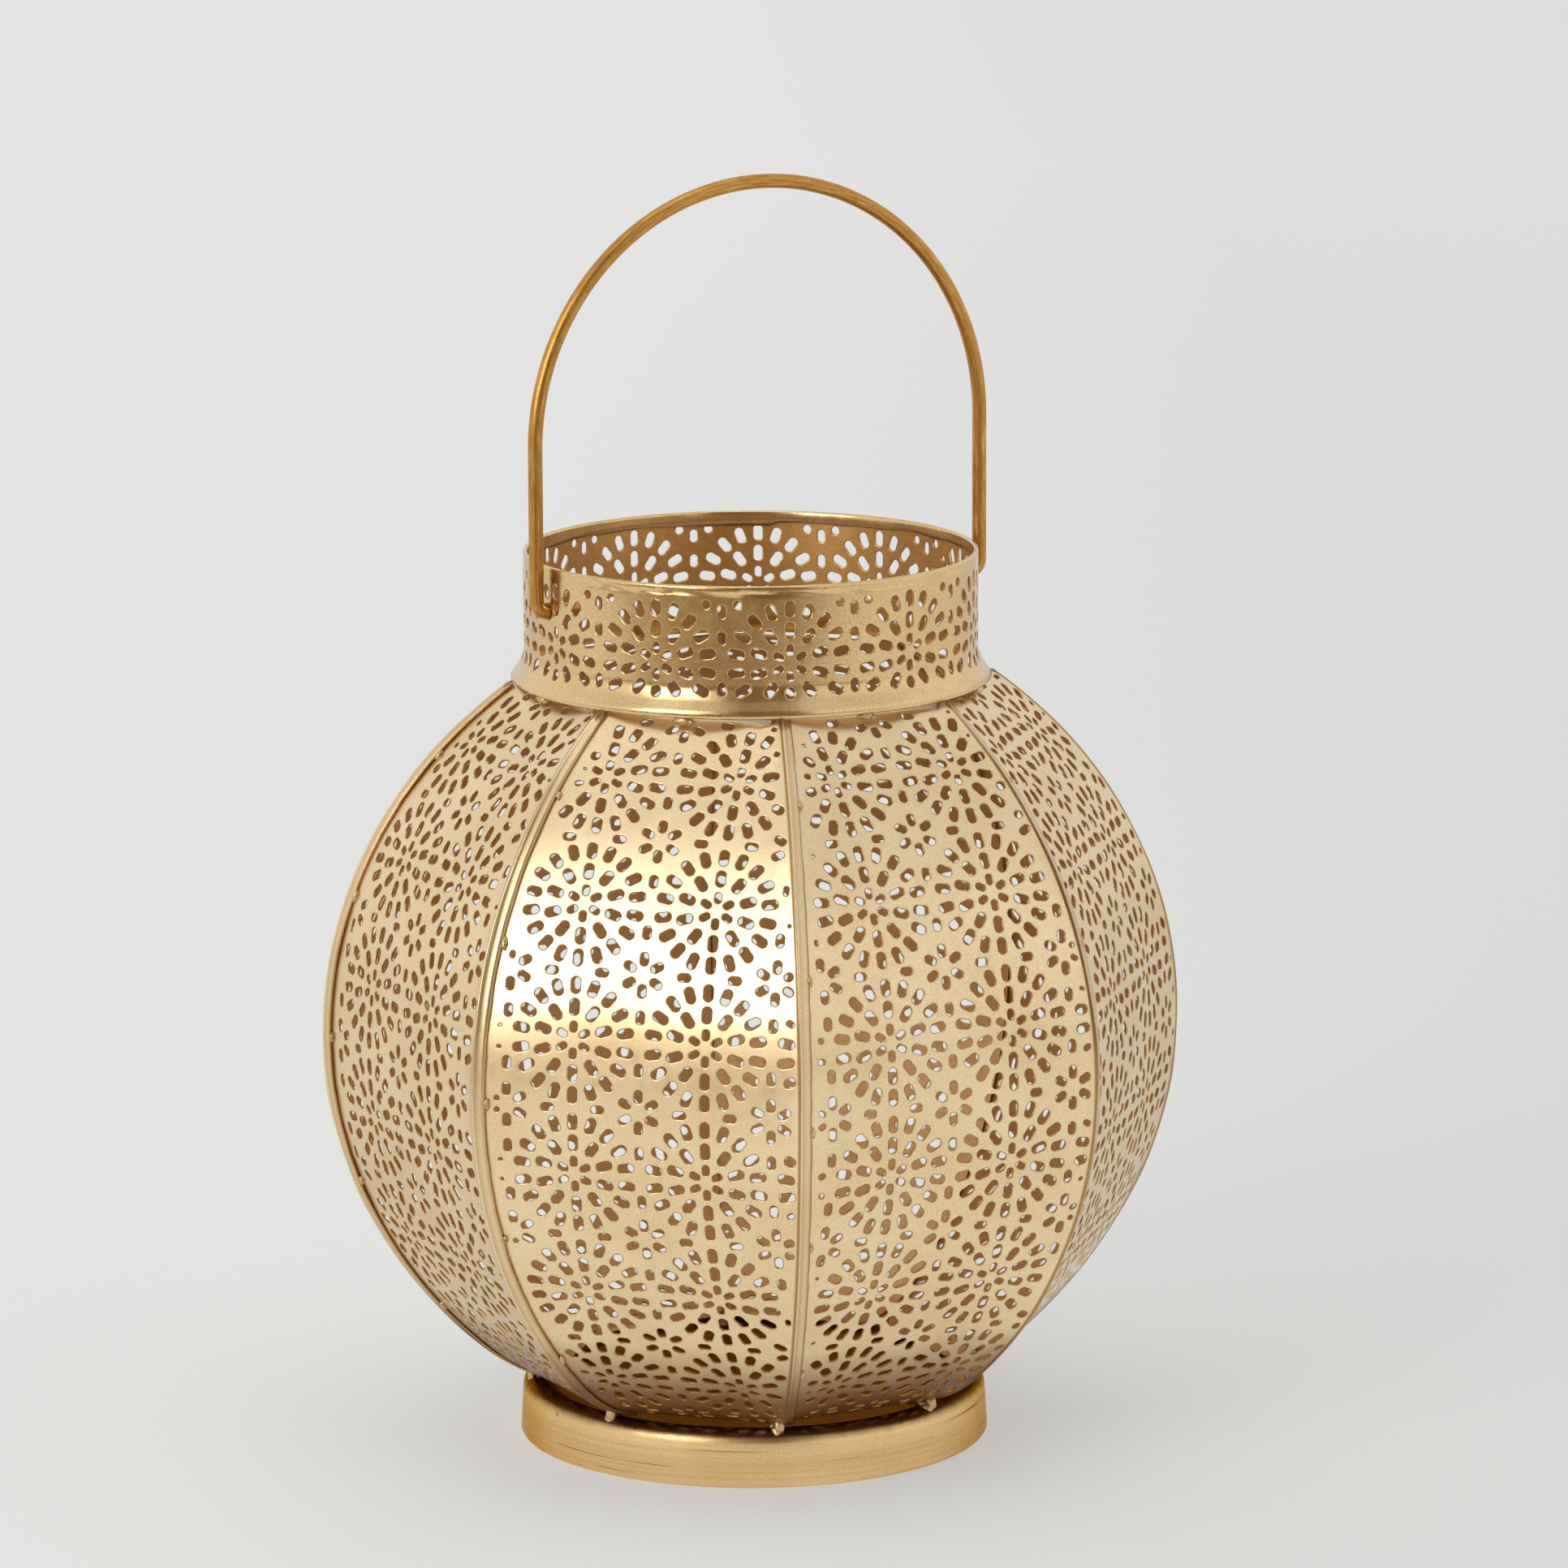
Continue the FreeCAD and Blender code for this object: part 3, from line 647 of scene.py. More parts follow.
for gore in range(GORES):
    slide_across, slide_up = (value * MM for value in REGISTER[gore])
    bm = bmesh.new()
    inward = bm.verts.layers.float_vector.new("inward")
    rim = bm.verts.layers.float.new("edge_brown_and_fold_shade")
    bmesh.ops.create_grid(bm, x_segments=1, y_segments=len(rows) - 1, size=1.0)
    bm.verts.ensure_lookup_table()
    for vertex in bm.verts:
        row = rows[round((vertex.co.y + 1) / 2 * (len(rows) - 1))]
        vertex.co = Vector((fold_at(row) if vertex.co.x > 0 else tuck_at(row), row, 0))
    bmesh.ops.delete(bm, geom=bm.faces[:], context="FACES_ONLY")
    bmesh.ops.delete(
        bm, context="EDGES",
        geom=[
            e for e in bm.edges
            if abs(e.verts[0].co.y - e.verts[1].co.y) < 1e-6
            and run_foot + 1e-5 < e.verts[0].co.y < run_top - 1e-5
        ],
    )

    def gore_room(point, clear):
        """True where the die may open the sheet: clear of the fold, the lap and both ends."""
        if not run_foot + FOOT_MARGIN + clear < point.y < run_top - TOP_MARGIN - clear:
            return False
        low, high = tuck_at(point.y) + TUCK_MARGIN, fold_at(point.y) - FOLD_MARGIN
        return low + clear < point.x < high - clear

    slots = [
        slot
        for column in range(-3, 3) for line in range(-4, 4)
        for slot in burst_slots(
            (column + 0.5) * PERIOD + slide_across, (line + 0.5) * PERIOD + slide_up
        )
    ]
    punched_sheet(bm, inward, slots, gore_room)
    for row in rows[1:-1]:
        sliced(bm, (0, row, 0), (0, 1, 0))
    fold_edges = [
        e for e in bm.edges
        if e.is_boundary and all(v.co.x > fold_at(v.co.y) - 1e-5 for v in e.verts)
    ]
    for step in range(FOLD_STEPS + 2):
        made = bmesh.ops.extrude_edge_only(bm, edges=fold_edges)["geom"]
        added = verts_of(made)
        fold_edges = [
            e for e in made
            if isinstance(e, bmesh.types.BMEdge) and all(v in added for v in e.verts)
        ]
        for vertex in added:
            if step < FOLD_STEPS:
                vertex.co.x += FOLD_RADIUS * TURN / FOLD_STEPS
            else:
                vertex.co.x += flange_at(vertex.co.y) / 2
            # Painted shade in the fold's creases, and browning with painted shadow at its raw
            # edge.
            vertex[rim] = FOLD_SHADE_AND_BROWN[step]
            if step == FOLD_STEPS + 1:
                vertex.co.x += 0.25 * MM * noise.noise(Vector((vertex.co.y * 300, gore * 3.3, 0)))
    depth = bm.verts.layers.float.new("drawn_depth")
    drawn_lips(bm, inward, rim, depth)
    rolled = bm.verts.layers.float_vector.new("rolled")
    turned = Matrix.Rotation(TURN * gore, 3, "Z")
    for vertex in bm.verts:
        across, run = vertex.co.x, vertex.co.y
        place = formed(across, run, gore)
        step = 0.2 * MM
        run_step = step if run < (run_foot + run_top) / 2 else -step
        if across < fold_at(run) - FOLD_MARGIN:
            # Short of the fold, the true normal of the rolled sheet.
            along = (formed(across, run + run_step, gore) - place) / run_step
            sideways = (formed(across - step, run, gore) - place) / -step
            vertex[rolled] = turned @ sideways.cross(along).normalized()
        lean = profile_at(run)[2]
        vertex.co = place - Vector((math.cos(lean), 0, math.sin(lean))) * vertex[depth]
    for level, normal in ((gore_top, (0, 0, 1)), (gore_bottom, (0, 0, -1))):
        sliced(bm, (0, 0, level), normal, clear_outer=True)
    bmesh.ops.transform(bm, matrix=turned.to_4x4(), verts=bm.verts[:])
    panel = new_piece(f"gore_{gore + 1}", bm, [outer_finish[0], shaded_inner_finish[0], cut_finish[0]])
    walled(panel)
    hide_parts(f"gore_panel_{gore + 1}")
    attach(panel, "lantern")

# ==================== solder and tacks
# Soft solder joins the gores' corners to the base, tacks down each lap and holds the collar.  It
# sets in small uneven drops, and is lacquered over with everything else.

solder_finish = lacquered(
    "solder_lacquer", (0.70, 0.51, 0.27), (0.46, 0.28, 0.11), flake=0.6, sheen=0.30, bump=0.6
)
marked(*solder_finish, (0.22, 0.11, 0.04), 420.0, 0.45)


def blob(bm, centre, normal, along, radii, seed, rough=0.22, detail=3):
    """One drop of solder: a squashed ball, long in one direction, with a lumpy skin."""
    normal = normal.normalized()
    along = (along - normal * along.dot(normal)).normalized()
    across = normal.cross(along)
    frame_of = Matrix((along, across, normal)).transposed().to_4x4()
    made = bmesh.ops.create_icosphere(bm, subdivisions=detail, radius=1.0)["verts"]
    for vertex in made:
        unit = vertex.co.copy()
        lump = noise.noise(unit * 1.4 + Vector((seed, seed * 2.1, 0)))
        lump += 0.5 * noise.noise(unit * 3.3 + Vector((0, seed, seed * 1.3)))
        vertex.co = unit * (1 + rough * lump)
        vertex.co = Vector([vertex.co[axis] * radii[axis] for axis in range(3)])
    bmesh.ops.transform(bm, matrix=Matrix.Translation(centre) @ frame_of, verts=made)


def bearing_at(turn):
    """The level direction outwards from the axis at a turn."""
    return Vector((math.cos(turn), math.sin(turn), 0))


TACKS = 5
TACK_HALF = 1.15 * MM
lowest_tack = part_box("seam_tacks")[0].z + TACK_HALF
highest_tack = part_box("seam_tacks")[1].z - TACK_HALF
bm = bmesh.new()
for gore in range(GORES):
    for tack in range(TACKS):
        level = lowest_tack + (highest_tack - lowest_tack) * tack / (TACKS - 1)
        jitter = noise.noise(Vector((gore * 3.7, tack * 5.3, 0.5)))
        level += 5.0 * MM * jitter if 0 < tack < TACKS - 1 else 0.0
        reach = reach_at(level)
        lean = math.asin((level - girth_level) / belly_radius)
        across = -reach * TAN + FLANGE_LAP + 0.1 * MM
        turned = Matrix.Rotation(TURN * gore, 3, "Z")
        length = TACK_HALF + 1.6 * MM * abs(noise.noise(Vector((gore * 9.1, tack * 2.7, 3.3))))
        blob(
            bm, turned @ Vector((reach + 0.15 * MM * math.cos(lean), across, level)),
            turned @ Vector((math.cos(lean), 0, math.sin(lean))),
            turned @ Vector((-math.sin(lean), 0, math.cos(lean))),
            (length, 0.85 * MM, 0.75 * MM), gore * 11.0 + tack * 1.9, detail=2,
        )
tacks = new_piece("seam_tacks_solder", bm, [solder_finish[0]])
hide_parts("seam_tacks")
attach(tacks, "lantern")

TAIL_REACH = 54.9 * MM
DRIP_REACH = 57.3 * MM
PILLAR_REACH = 57.8 * MM
LUMP_REACH = 52.6 * MM
UP = Vector((0, 0, 1))
bm = bmesh.new()
for gore in range(GORES):
    outward = bearing_at(TURN * (gore + 0.5))
    sideways = UP.cross(outward)
    size = 1.0 + 0.45 * noise.noise(Vector((gore * 4.1, 0.2, 0)))
    normal = outward * 0.35 + UP
    # A tail of solder runs from the gores' corner, over the crown, to the shoulder.
    blob(
        bm, outward * TAIL_REACH + UP * (crown_level + 0.9 * MM), normal,
        outward - UP * 0.45, (3.1 * MM, 1.6 * MM * size, 1.5 * MM), gore * 3.1 + 0.7,
    )
    blob(
        bm, outward * DRIP_REACH + UP * (crown_level - 0.3 * MM), outward * 0.8 + UP,
        outward - UP, (1.75 * MM, 1.5 * MM * size, 1.3 * MM), gore * 2.3 + 5.1,
    )
    # Where the seam passes over the shoulder the solder stands as a short pillar between them.
    blob(
        bm, outward * PILLAR_REACH + sideways * 0.6 * MM + UP * (crown_level + 1.0 * MM),
        outward, UP, (2.3 * MM, 1.45 * MM, 1.3 * MM * size), gore * 4.7 + 3.3, rough=0.20,
    )
    for lump in range(2):
        shift = noise.noise(Vector((gore * 1.7, lump * 3.9, 2.2)))
        blob(
            bm,
            outward * (LUMP_REACH + 1.2 * MM * shift) + sideways * (lump - 0.5) * 1.9 * MM
            + UP * (crown_level + (0.9 + 0.8 * abs(shift)) * MM),
            normal, sideways, (1.4 * MM * size, 1.2 * MM, 1.1 * MM * size),
            gore * 5.3 + lump * 2.2, rough=0.42, detail=2,
        )
beads = new_piece("base_solder_beads", bm, [solder_finish[0]])
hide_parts("base_solder")
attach(beads, "lantern")

# ==================== collar
# The collar is one strip of the same punched sheet, rolled into a ring and lapped at the back.
# Its lower edge is flared to sit on the gores; its mouth is folded in on itself as a hem.

collar_low, collar_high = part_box("collar")
WALL_RADIUS = 58.0 * MM
flare_radius = collar_high.x
mouth_level = collar_high.z
flare_level = collar_low.z
pivot_level = mouth_level - 11.5 * MM
STRIP_LAP = 4.6 * MM
HEM_DEPTH = 3.2 * MM
HEM_TURN = 0.62 * MM
LAP_BEARING = math.radians(140.0)
LAP_STEP = 0.08 * MM
LAP_RAMP = 3.0 * MM
HEM_STEP_BEARING = math.radians(57.0)
FLARE_RISE = 5.6 * MM
FLARE_ROUND = 8.0 * MM
flare_foot = flare_level + 0.3 * MM
EYE_RADIUS = 2.12 * MM
EYE_MARGIN = 0.7 * MM

flare_slope = math.atan2(flare_radius - WALL_RADIUS, FLARE_RISE)
flare_bend = FLARE_ROUND * flare_slope
flare_tangent = FLARE_ROUND * math.tan(flare_slope / 2)
flare_straight = math.hypot(flare_radius - WALL_RADIUS, FLARE_RISE) - flare_tangent
wall_start = flare_straight + flare_bend
wall_level = flare_foot + FLARE_RISE + flare_tangent
wall_end = wall_start + mouth_level - HEM_TURN - wall_level
hem_start = wall_end + math.pi * HEM_TURN
strip_end = hem_start + HEM_DEPTH - HEM_TURN


def strip_profile(up):
    """Radius and level of the strip's outer face, a distance up it from the flare's edge."""
    if up <= flare_straight:
        return flare_radius - up * math.sin(flare_slope), flare_foot + up * math.cos(flare_slope)
    if up <= wall_start:
        left = (wall_start - up) / FLARE_ROUND
        return (
            WALL_RADIUS + FLARE_ROUND * (1 - math.cos(left)),
            wall_level - FLARE_ROUND * math.sin(left),
        )
    if up <= wall_end:
        return WALL_RADIUS, wall_level + up - wall_start
    if up <= hem_start:
        turn = (up - wall_end) / HEM_TURN
        return (
            WALL_RADIUS - HEM_TURN * (1 - math.cos(turn)),
            mouth_level - HEM_TURN + HEM_TURN * math.sin(turn),
        )
    return WALL_RADIUS - 2 * HEM_TURN, mouth_level - HEM_TURN - (up - hem_start)


strip_length = math.tau * WALL_RADIUS
levels = [0.0, flare_straight / 2, flare_straight]
levels += [flare_straight + flare_bend * k / 5 for k in range(1, 6)]
levels += [wall_start + (wall_end - wall_start) * k / 6 for k in range(1, 7)]
levels += [wall_end + (hem_start - wall_end) * k / 5 for k in range(1, 6)]
levels += [hem_start + (strip_end - hem_start) / 2, strip_end]
STRIP_STEPS = 150
END_MARGIN = 0.5 * MM
BURST_LEVEL = 211.5 * MM
BURSTS = 11
BURST_BEARING = math.radians(60.0)
PUNCHED_BELOW = 0.275 * PERIOD
PUNCHED_ABOVE = 0.475 * PERIOD

bm = bmesh.new()
inward = bm.verts.layers.float_vector.new("inward")
bmesh.ops.create_grid(bm, x_segments=1, y_segments=1, size=1.0)
for vertex in bm.verts:
    vertex.co = Vector((
        strip_length + STRIP_LAP if vertex.co.x > 0 else 0.0,
        strip_end if vertex.co.y > 0 else 0.0, 0,
    ))
bmesh.ops.delete(bm, geom=bm.faces[:], context="FACES_ONLY")
burst_up = wall_start + BURST_LEVEL - wall_level
eye_up = wall_start + pivot_level - wall_level
eye_places = [
    Vector((((turn - LAP_BEARING) % math.tau) * WALL_RADIUS, eye_up, 0)) for turn in (0.0, math.pi)
]


def collar_room(point, clear):
    """True where the die may open the strip: clear of its lap, its hem, its flare and its eyes."""
    if not burst_up - PUNCHED_BELOW + clear < point.y < burst_up + PUNCHED_ABOVE - clear:
        return False
    if any((point - place).length < EYE_RADIUS + EYE_MARGIN + clear for place in eye_places):
        return False
    return END_MARGIN + clear < point.x < strip_length - END_MARGIN - clear


first_burst = ((BURST_BEARING - LAP_BEARING) % math.tau) * WALL_RADIUS % PERIOD
slots = []
for burst in range(-1, BURSTS + 2):
    for line in (-1, 0, 1):
        slots += burst_slots(first_burst + burst * PERIOD, burst_up + line * PERIOD)
for place in eye_places:
    made = bmesh.ops.create_circle(
        bm, segments=28, radius=EYE_RADIUS + LIP, matrix=Matrix.Translation(place)
    )["verts"]
    for vertex in made:
        vertex[inward] = (place - vertex.co).normalized()
punched_sheet(bm, inward, slots, collar_room)
for level in levels[1:-1]:
    sliced(bm, (0, level, 0), (0, 1, 0))
for step in range(1, STRIP_STEPS):
    sliced(bm, ((strip_length + STRIP_LAP) * step / STRIP_STEPS, 0, 0), (1, 0, 0))
rim = bm.verts.layers.float.new("edge_brown_and_fold_shade")
depth = bm.verts.layers.float.new("drawn_depth")
drawn_lips(bm, inward, rim, depth)

WALL_WAVE = 0.16 * MM
EDGE_WAVE = 0.20 * MM
CREASE_DEPTH = 0.10 * MM
crease_up = wall_end - 1.4 * MM


def rolled_strip(along, up):
    """Where a point of the flat strip is once it is rolled, flared and hemmed."""
    turn = LAP_BEARING + along / WALL_RADIUS
    if up > hem_start:
        # The hem's raw edge was cut by hand, and its two ends meet with a small step.
        wander = 0.5 * noise.noise(Vector((along * 90, 0.3, 1.1)))
        step = (turn - HEM_STEP_BEARING) % math.tau
        wander += 0.6 - step / math.tau * 0.9
        up += wander * MM * (up - hem_start) / (strip_end - hem_start)
    radius, level = strip_profile(up)
    inner = min(max((along - strip_length + LAP_RAMP) / LAP_RAMP, 0.0), 1.0)
    radius -= inner * (SHEET_GAUGE + LAP_STEP)
    wave = WALL_WAVE * noise.noise(bearing_at(turn) * 1.6 + Vector((0, 0, level * 18)))
    if up < 1.0 * MM:
        level += EDGE_WAVE * max(noise.noise(Vector((along * 160, 0, 4.4))), 0.0)
    crease = CREASE_DEPTH * math.exp(-((up - crease_up) / (0.4 * MM)) ** 2)
    radius += min(wave, 0.0) - crease
    return bearing_at(turn) * radius + Vector((0, 0, level))


rolled = bm.verts.layers.float_vector.new("rolled")
for vertex in bm.verts:
    along, up = vertex.co.x, vertex.co.y
    place = rolled_strip(along, up)
    step = 0.15 * MM
    if 0.3 * MM < up < wall_end - 0.2 * MM:
        upward = rolled_strip(along, up + step) - rolled_strip(along, up - step)
        sideways = rolled_strip(along + step, up) - rolled_strip(along - step, up)
        vertex[rolled] = sideways.cross(upward).normalized()
    vertex.co = place - bearing_at(LAP_BEARING + along / WALL_RADIUS) * vertex[depth]
bm.normal_update()
collar_outer = browned_and_shaded(
    lacquered(
        "collar_lacquer", (0.82, 0.61, 0.33), (0.58, 0.37, 0.12), flake=0.65, sheen=0.10, coat=0.35
    ),
    (0.40, 0.20, 0.06), 0.85,
)
collar_outer[2].inputs["Specular Tint"].default_value = (0.72, 0.70, 0.72, 1.0)
# Painted shade: the collar's inside is a darker, more saturated copy of its lacquer, standing in
# for the dim interior.
shaded_collar_inner = lacquered(
    "collar_inside_shaded", (0.80, 0.53, 0.22), (0.52, 0.28, 0.085), flake=0.7, sheen=0.30
)
collar = new_piece("collar_ring", bm, [collar_outer[0], shaded_collar_inner[0], cut_finish[0]])
walled(collar)
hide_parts("collar")
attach(collar, "lantern")

bm = bmesh.new()
for gore in range(GORES):
    outward = bearing_at(TURN * gore + 0.02 * noise.noise(Vector((gore * 2.9, 7.7, 0))))
    sideways = UP.cross(outward)
    centre = outward * (flare_radius - 1.3 * MM) + UP * (flare_level - 0.6 * MM)
    blob(
        bm, centre, outward + UP * 0.8, sideways,
        (2.3 * MM, 1.1 * MM, 0.9 * MM), gore * 6.1 + 1.3, rough=0.3,
    )
    blob(
        bm, centre + sideways * 2.1 * MM - UP * 0.3 * MM, outward + UP * 0.8, sideways,
        (1.1 * MM, 0.8 * MM, 0.6 * MM), gore * 8.7 + 0.4, rough=0.3, detail=2,
    )
collar_beads = new_piece("collar_solder_beads", bm, [solder_finish[0]])
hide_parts("collar_solder")
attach(collar_beads, "lantern")

# ==================== bail
# The handle is one length of drawn brass wire, bent to a half circle with two straight legs.  Each
# foot is hooked through an eye in the collar and turns in it.  Handling has streaked its lacquer.

bail_low, bail_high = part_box("bail_handle")
WIRE_RADIUS = 1.83 * MM
WIRE_SIDES = 28
HOOK_ROUND = 2.9 * MM
HOOK_LENGTH = 14.0 * MM
half_span = (bail_high.x - bail_low.x) / 2 - WIRE_RADIUS
bail_middle = (bail_high.x + bail_low.x) / 2
arch_level = pivot_level + 40.995 * MM
# Each cut end is filed round in two steps: how far along, and how much wider.
FILED = ((0.15 * MM, 0.17 * MM), (0.25 * MM, 0.08 * MM))
end_radius = WIRE_RADIUS - FILED[0][1] - FILED[1][1]


def ring_edges(ring):
    """The edges that join the points of a ring of the wire."""
    return [
        e for e in dict.fromkeys(e for v in ring for e in v.link_edges)
        if all(v in ring for v in e.verts)
    ]


def pushed(ring, move, grow=0.0):
    """Draws the wire on in a straight line, and widens it by a little where that is asked."""
    ring = verts_of(bmesh.ops.extrude_edge_only(bm, edges=ring_edges(ring))["geom"])
    centre = sum((v.co for v in ring), Vector()) / len(ring)
    for vertex in ring:
        vertex.co += (vertex.co - centre).normalized() * grow + move
    return ring


def drawn_on(ring, move, steps):
    """Draws a straight length of wire in a few steps."""
    for step in range(steps):
        ring = pushed(ring, move / steps)
    return ring


def bent(ring, centre, angle, steps):
    """Draws the wire round a bend in the bail's own plane."""
    return verts_of(bmesh.ops.spin(
        bm, geom=ring + ring_edges(ring), cent=centre, axis=(0, 1, 0), angle=angle, steps=steps
    )["geom_last"])


bm = bmesh.new()
ring = bmesh.ops.create_circle(
    bm, segments=WIRE_SIDES, radius=end_radius, cap_ends=True,
    matrix=Matrix.Translation((bail_middle - half_span + HOOK_LENGTH, 0, pivot_level))
    @ Matrix.Rotation(math.pi / 2, 4, "Y"),
)["verts"]
hook_run = Vector((sum(length for length, grow in FILED) + HOOK_ROUND - HOOK_LENGTH, 0, 0))
hook_level = pivot_level + HOOK_ROUND
leg = arch_level - hook_level
for length, grow in FILED:
    ring = pushed(ring, Vector((-length, 0, 0)), grow)
ring = drawn_on(ring, hook_run, 3)
ring = bent(ring, (bail_middle - half_span + HOOK_ROUND, 0, hook_level), math.pi / 2, 10)
ring = drawn_on(ring, Vector((0, 0, leg)), 4)
ring = bent(ring, (bail_middle, 0, arch_level), math.pi, 96)
ring = drawn_on(ring, Vector((0, 0, -leg)), 4)
ring = bent(ring, (bail_middle + half_span - HOOK_ROUND, 0, hook_level), math.pi / 2, 10)
ring = drawn_on(ring, hook_run, 3)
for length, grow in reversed(FILED):
    ring = pushed(ring, Vector((-length, 0, 0)), -grow)
bmesh.ops.contextual_create(bm, geom=ring_edges(ring))
cleaned(bm)


def wire_place(point):
    """Distance along the wire and turn round it, for the streaks that follow its length."""
    if point.z > arch_level:
        out = Vector((point.x - bail_middle, 0, point.z - arch_level))
        turn = math.atan2(out.z, -out.x)
        return leg + half_span * turn, math.atan2(point.y, out.length - half_span)
    across = point.x - bail_middle
    sign = 1 if across > 0 else -1
    along = point.z - pivot_level
    along = leg + math.pi * half_span + leg - along if sign > 0 else along
    return along, math.atan2(point.y, across * sign - half_span)


streaks = bm.loops.layers.uv.new("along_wire")
for face in bm.faces:
    places = [wire_place(loop.vert.co) for loop in face.loops]
    # A face across the seam of the turns keeps its far side past a whole turn.
    crosses = max(turn for along, turn in places) > 2.0
    for loop, (along, turn) in zip(face.loops, places):
        if turn < 0 and crosses:
            turn += math.tau
        loop[streaks].uv = (along * 100, turn / math.tau)
mark_sharp(bm, 50)

material, tree, shader, color, vector = lacquered(
    "bail_brass", (0.56, 0.28, 0.065), (0.38, 0.17, 0.03), flake=0.5, sheen=0.27, bump=0.35
)
along = node(tree, "ShaderNodeUVMap", uv_map="along_wire").outputs["UV"]
along = stretched(tree, along, (0.5, 9.0, 1.0))
drawn = noise_node(tree, along, 3.0, 6.0, 0.62)
streaked = mixed(tree, ranged(tree, drawn, 0.48, 0.68, 0.0, 0.7), color, (0.78, 0.50, 0.17))
dark = noise_node(tree, along, 1.7, 5.0, 0.6)
streaked = mixed(tree, ranged(tree, dark, 0.56, 0.74, 0.0, 0.6), streaked, (0.17, 0.07, 0.015))
tree.links.new(streaked, shader.inputs["Base Color"])
bail = new_piece("bail_wire", bm, [material])
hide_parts("bail_handle")
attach(bail, "bail")

# ==================== stage, light and camera
# The lantern stands on a wide sheet of pale paper in a pale room, lit by two large soft lights
# at the left and one above.  The camera has a long lens and looks a little down.

CAMERA_TURN = math.radians(-28.3)
CAMERA_RISE = math.radians(11.39)
CAMERA_ROLL = math.radians(-0.2)


def way_to(turn, rise):
    """The direction out from the lantern at a turn from the front and a rise from level."""
    return Vector((
        math.sin(turn) * math.cos(rise), -math.cos(turn) * math.cos(rise), math.sin(rise)
    ))


def along_way(tree, vector, way):
    """How far a place or a direction goes one way."""
    made = node(tree, "ShaderNodeVectorMath", operation="DOT_PRODUCT")
    made.inputs[1].default_value = way
    tree.links.new(vector, made.inputs[0])
    return made.outputs["Value"]


back = way_to(CAMERA_TURN, CAMERA_RISE)
side = Vector((math.cos(CAMERA_TURN), math.sin(CAMERA_TURN), 0))
# In the metal, the table and the room beyond it are dim on the camera's side: dim_side points
# at the middle of that side.  Seen directly, table and room are pale all round.
dim_side = way_to(CAMERA_TURN + math.radians(-14), 0)

floor_finish = bpy.data.materials.new("floor_paper")
floor_finish.use_nodes = True
tree = floor_finish.node_tree
shader = tree.nodes["Principled BSDF"]
place = node(tree, "ShaderNodeTexCoord").outputs["Object"]
lit = ranged(tree, along_way(tree, place, dim_side), 0.76, 0.88, 1.0, 0.0)
seen = node(tree, "ShaderNodeLightPath").outputs["Is Camera Ray"]
lit = math_node(tree, "MAXIMUM", lit, seen)
fibre = noise_node(tree, place, 900.0, 3.0, 0.6)
paper = mixed(tree, ranged(tree, fibre, 0.3, 0.7), (0.385, 0.385, 0.38), (0.405, 0.405, 0.40))
tree.links.new(mixed(tree, lit, (0.14, 0.10, 0.06), paper), shader.inputs["Base Color"])
# The paper's own glow stands for light from all round: it falls off to the right and the front.
rearward = along_way(tree, place, -way_to(CAMERA_TURN, 0))
glow = math_node(
    tree, "ADD", ranged(tree, along_way(tree, place, side), -0.15, 0.25, 0.50, 0.16),
    ranged(tree, rearward, -0.1, 0.6, 0.06, 0.17),
)
glow = math_node(tree, "ADD", glow, ranged(tree, rearward, 0.6, 2.7, 0.0, 0.34))
glow = mixed(tree, glow, (0.287, 0.290, 0.286), (0.442, 0.447, 0.442))
glow = mixed(tree, seen, (0.50, 0.50, 0.49), glow)
tree.links.new(mixed(tree, lit, (0.13, 0.09, 0.05), glow), shader.inputs["Emission Color"])
shader.inputs["Emission Strength"].default_value = 1.0
shader.inputs["Roughness"].default_value = 0.9
shader.inputs["Specular IOR Level"].default_value = 0.1
bm = bmesh.new()
bmesh.ops.create_circle(bm, cap_ends=True, segments=96, radius=9.0)
floor = new_piece("floor", bm, [floor_finish])

world = bpy.data.worlds.new("studio")
bpy.context.scene.world = world
world.use_nodes = True
sky = world.node_tree
direction = node(sky, "ShaderNodeTexCoord").outputs["Generated"]
height = height_of(sky, direction)
# On the dim side the room is dim up to the foot of the large lights.
dim = math_node(
    sky, "MULTIPLY", ranged(sky, along_way(sky, direction, dim_side), 0.68, 0.82),
    ranged(sky, height, 0.19, 0.13),
)
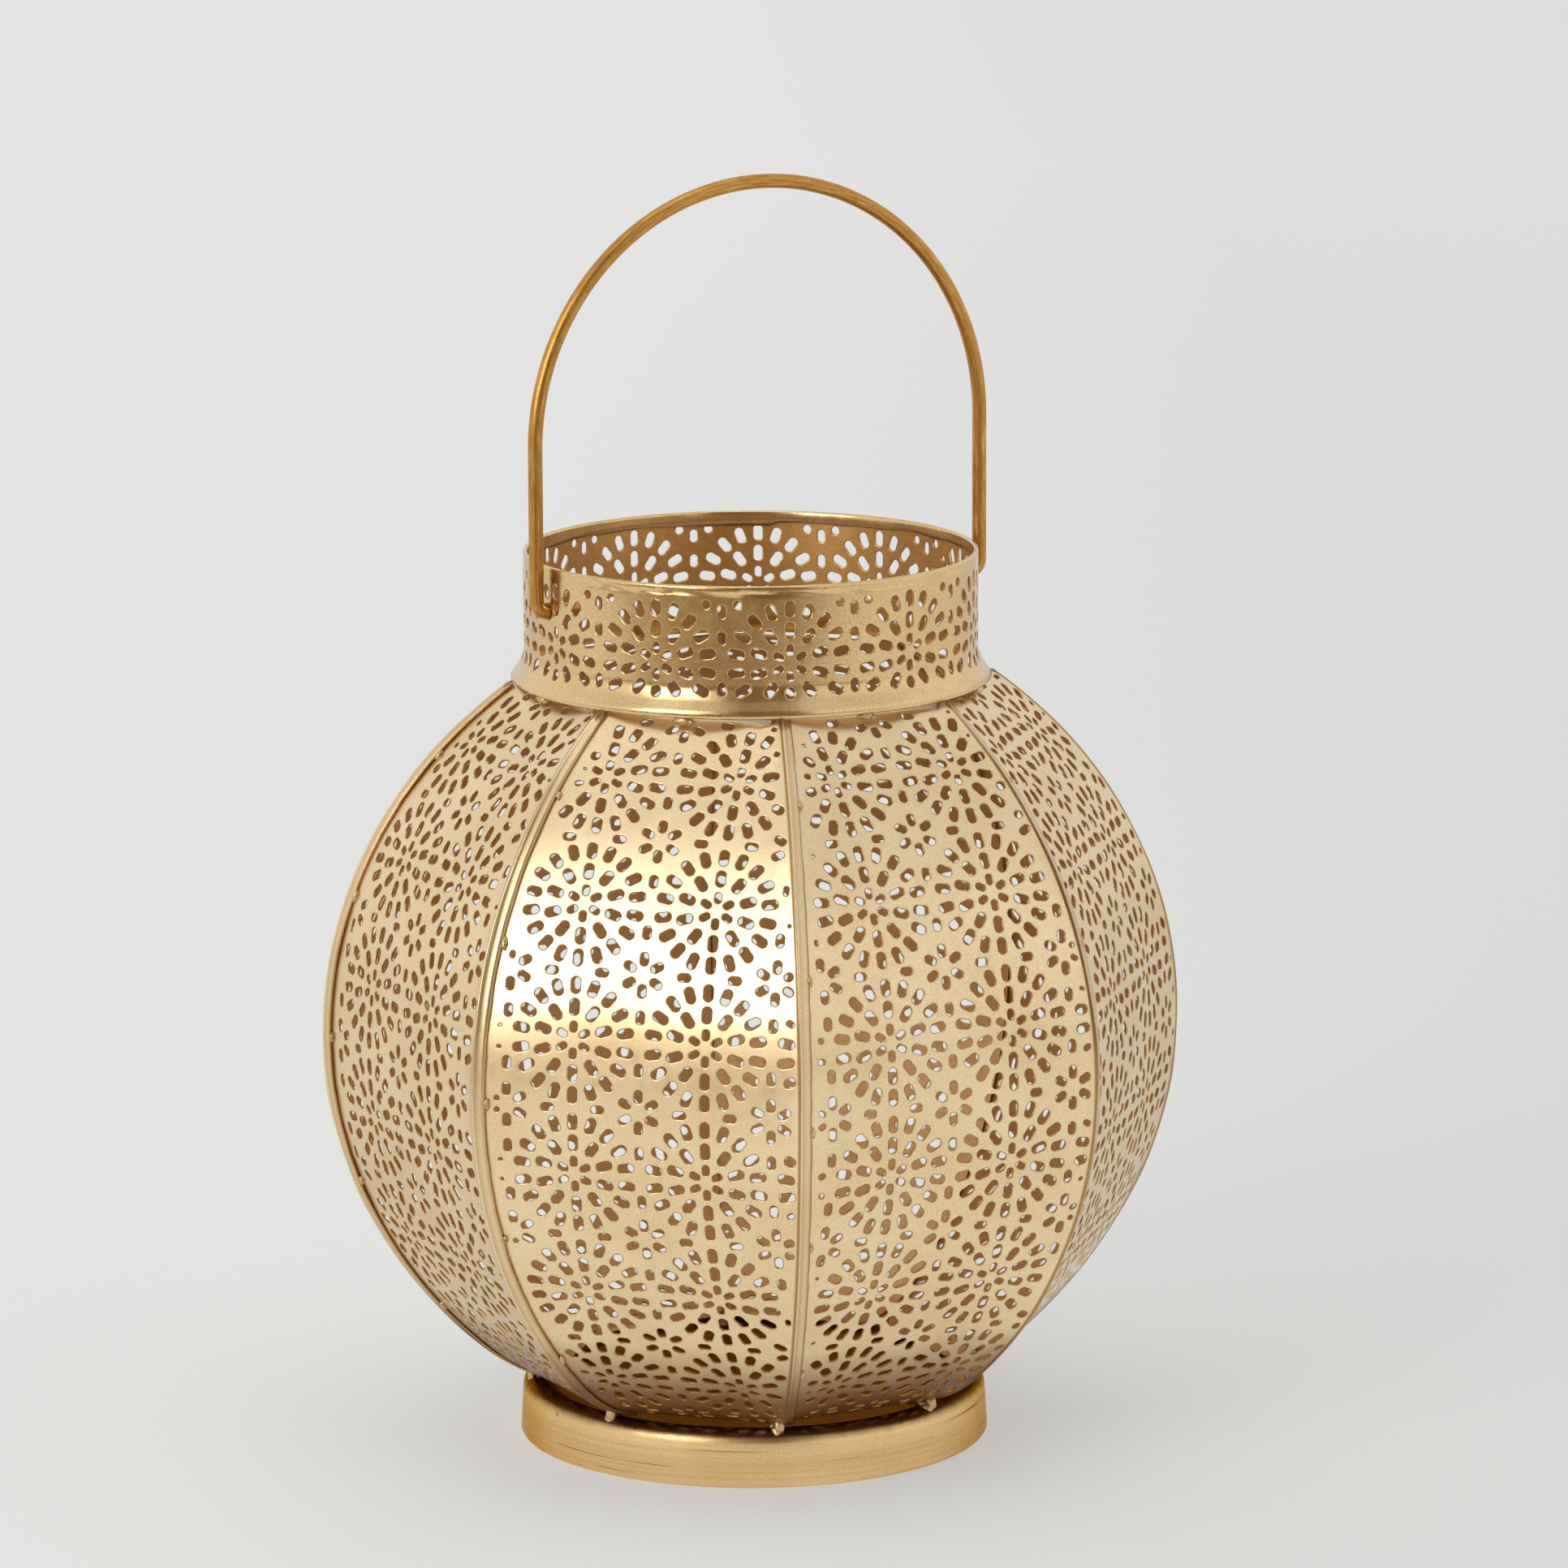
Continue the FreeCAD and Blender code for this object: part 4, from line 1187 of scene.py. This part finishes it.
# The opening beside the large lights, on the camera's side, is dim to well above.
flat_way = node(sky, "ShaderNodeVectorMath", operation="NORMALIZE")
sky.links.new(flattened(sky, direction), flat_way.inputs[0])
opening = along_way(sky, flat_way.outputs[0], way_to(CAMERA_TURN + math.radians(6), 0))
gap = math_node(
    sky, "MULTIPLY", ranged(sky, opening, 0.90, 0.95), ranged(sky, height, 0.90, 0.78)
)
seen = node(sky, "ShaderNodeLightPath").outputs["Is Camera Ray"]
unseen = math_node(sky, "SUBTRACT", 1.0, seen)
shade = math_node(sky, "MULTIPLY", math_node(sky, "MAXIMUM", dim, gap), unseen)
lofty = mixed(sky, ranged(sky, height, 0.45, 0.75), (0.98, 0.98, 0.98), (0.78, 0.785, 0.79))
sky.links.new(
    mixed(sky, shade, lofty, (0.22, 0.155, 0.09)),
    sky.nodes["Background"].inputs["Color"],
)


LIGHT_AIM = Vector((0, 0, 0.12))


def softbox(name, turn, rise, distance, width, height, power):
    """A soft light seen from the lantern at a turn and rise from the camera's own direction."""
    direction = way_to(CAMERA_TURN + math.radians(turn), math.radians(rise))
    light = bpy.data.lights.new(name, "AREA")
    light.shape = "RECTANGLE"
    light.size = width
    light.size_y = height
    light.energy = power
    lamp = bpy.data.objects.new(name, light)
    bpy.context.scene.collection.objects.link(lamp)
    lamp.matrix_world = Matrix.Translation(LIGHT_AIM + direction * distance) @ (
        direction.to_track_quat("Z", "Y").to_matrix().to_4x4()
    )


softbox("key", -41, 18, 2.4, 1.1, 0.80, 13)
softbox("key_upper", -41, 36, 2.4, 1.1, 0.70, 4.5)
softbox("top", 0, 85, 2.6, 1.6, 1.6, 6)

CAMERA_DISTANCE = 2.0479
CAMERA_AIM = Vector((0, 0, 0.1695)) + side * 0.00831
camera_data = bpy.data.cameras.new("camera")
camera_data.lens = 183.55
camera_data.sensor_width = 36.0
camera = bpy.data.objects.new("camera", camera_data)
bpy.context.scene.collection.objects.link(camera)
camera.matrix_world = (
    Matrix.Translation(CAMERA_AIM + back * CAMERA_DISTANCE)
    @ back.to_track_quat("Z", "Y").to_matrix().to_4x4() @ Matrix.Rotation(CAMERA_ROLL, 4, "Z")
)
bpy.context.scene.camera = camera
bpy.context.scene.view_settings.view_transform = "Standard"
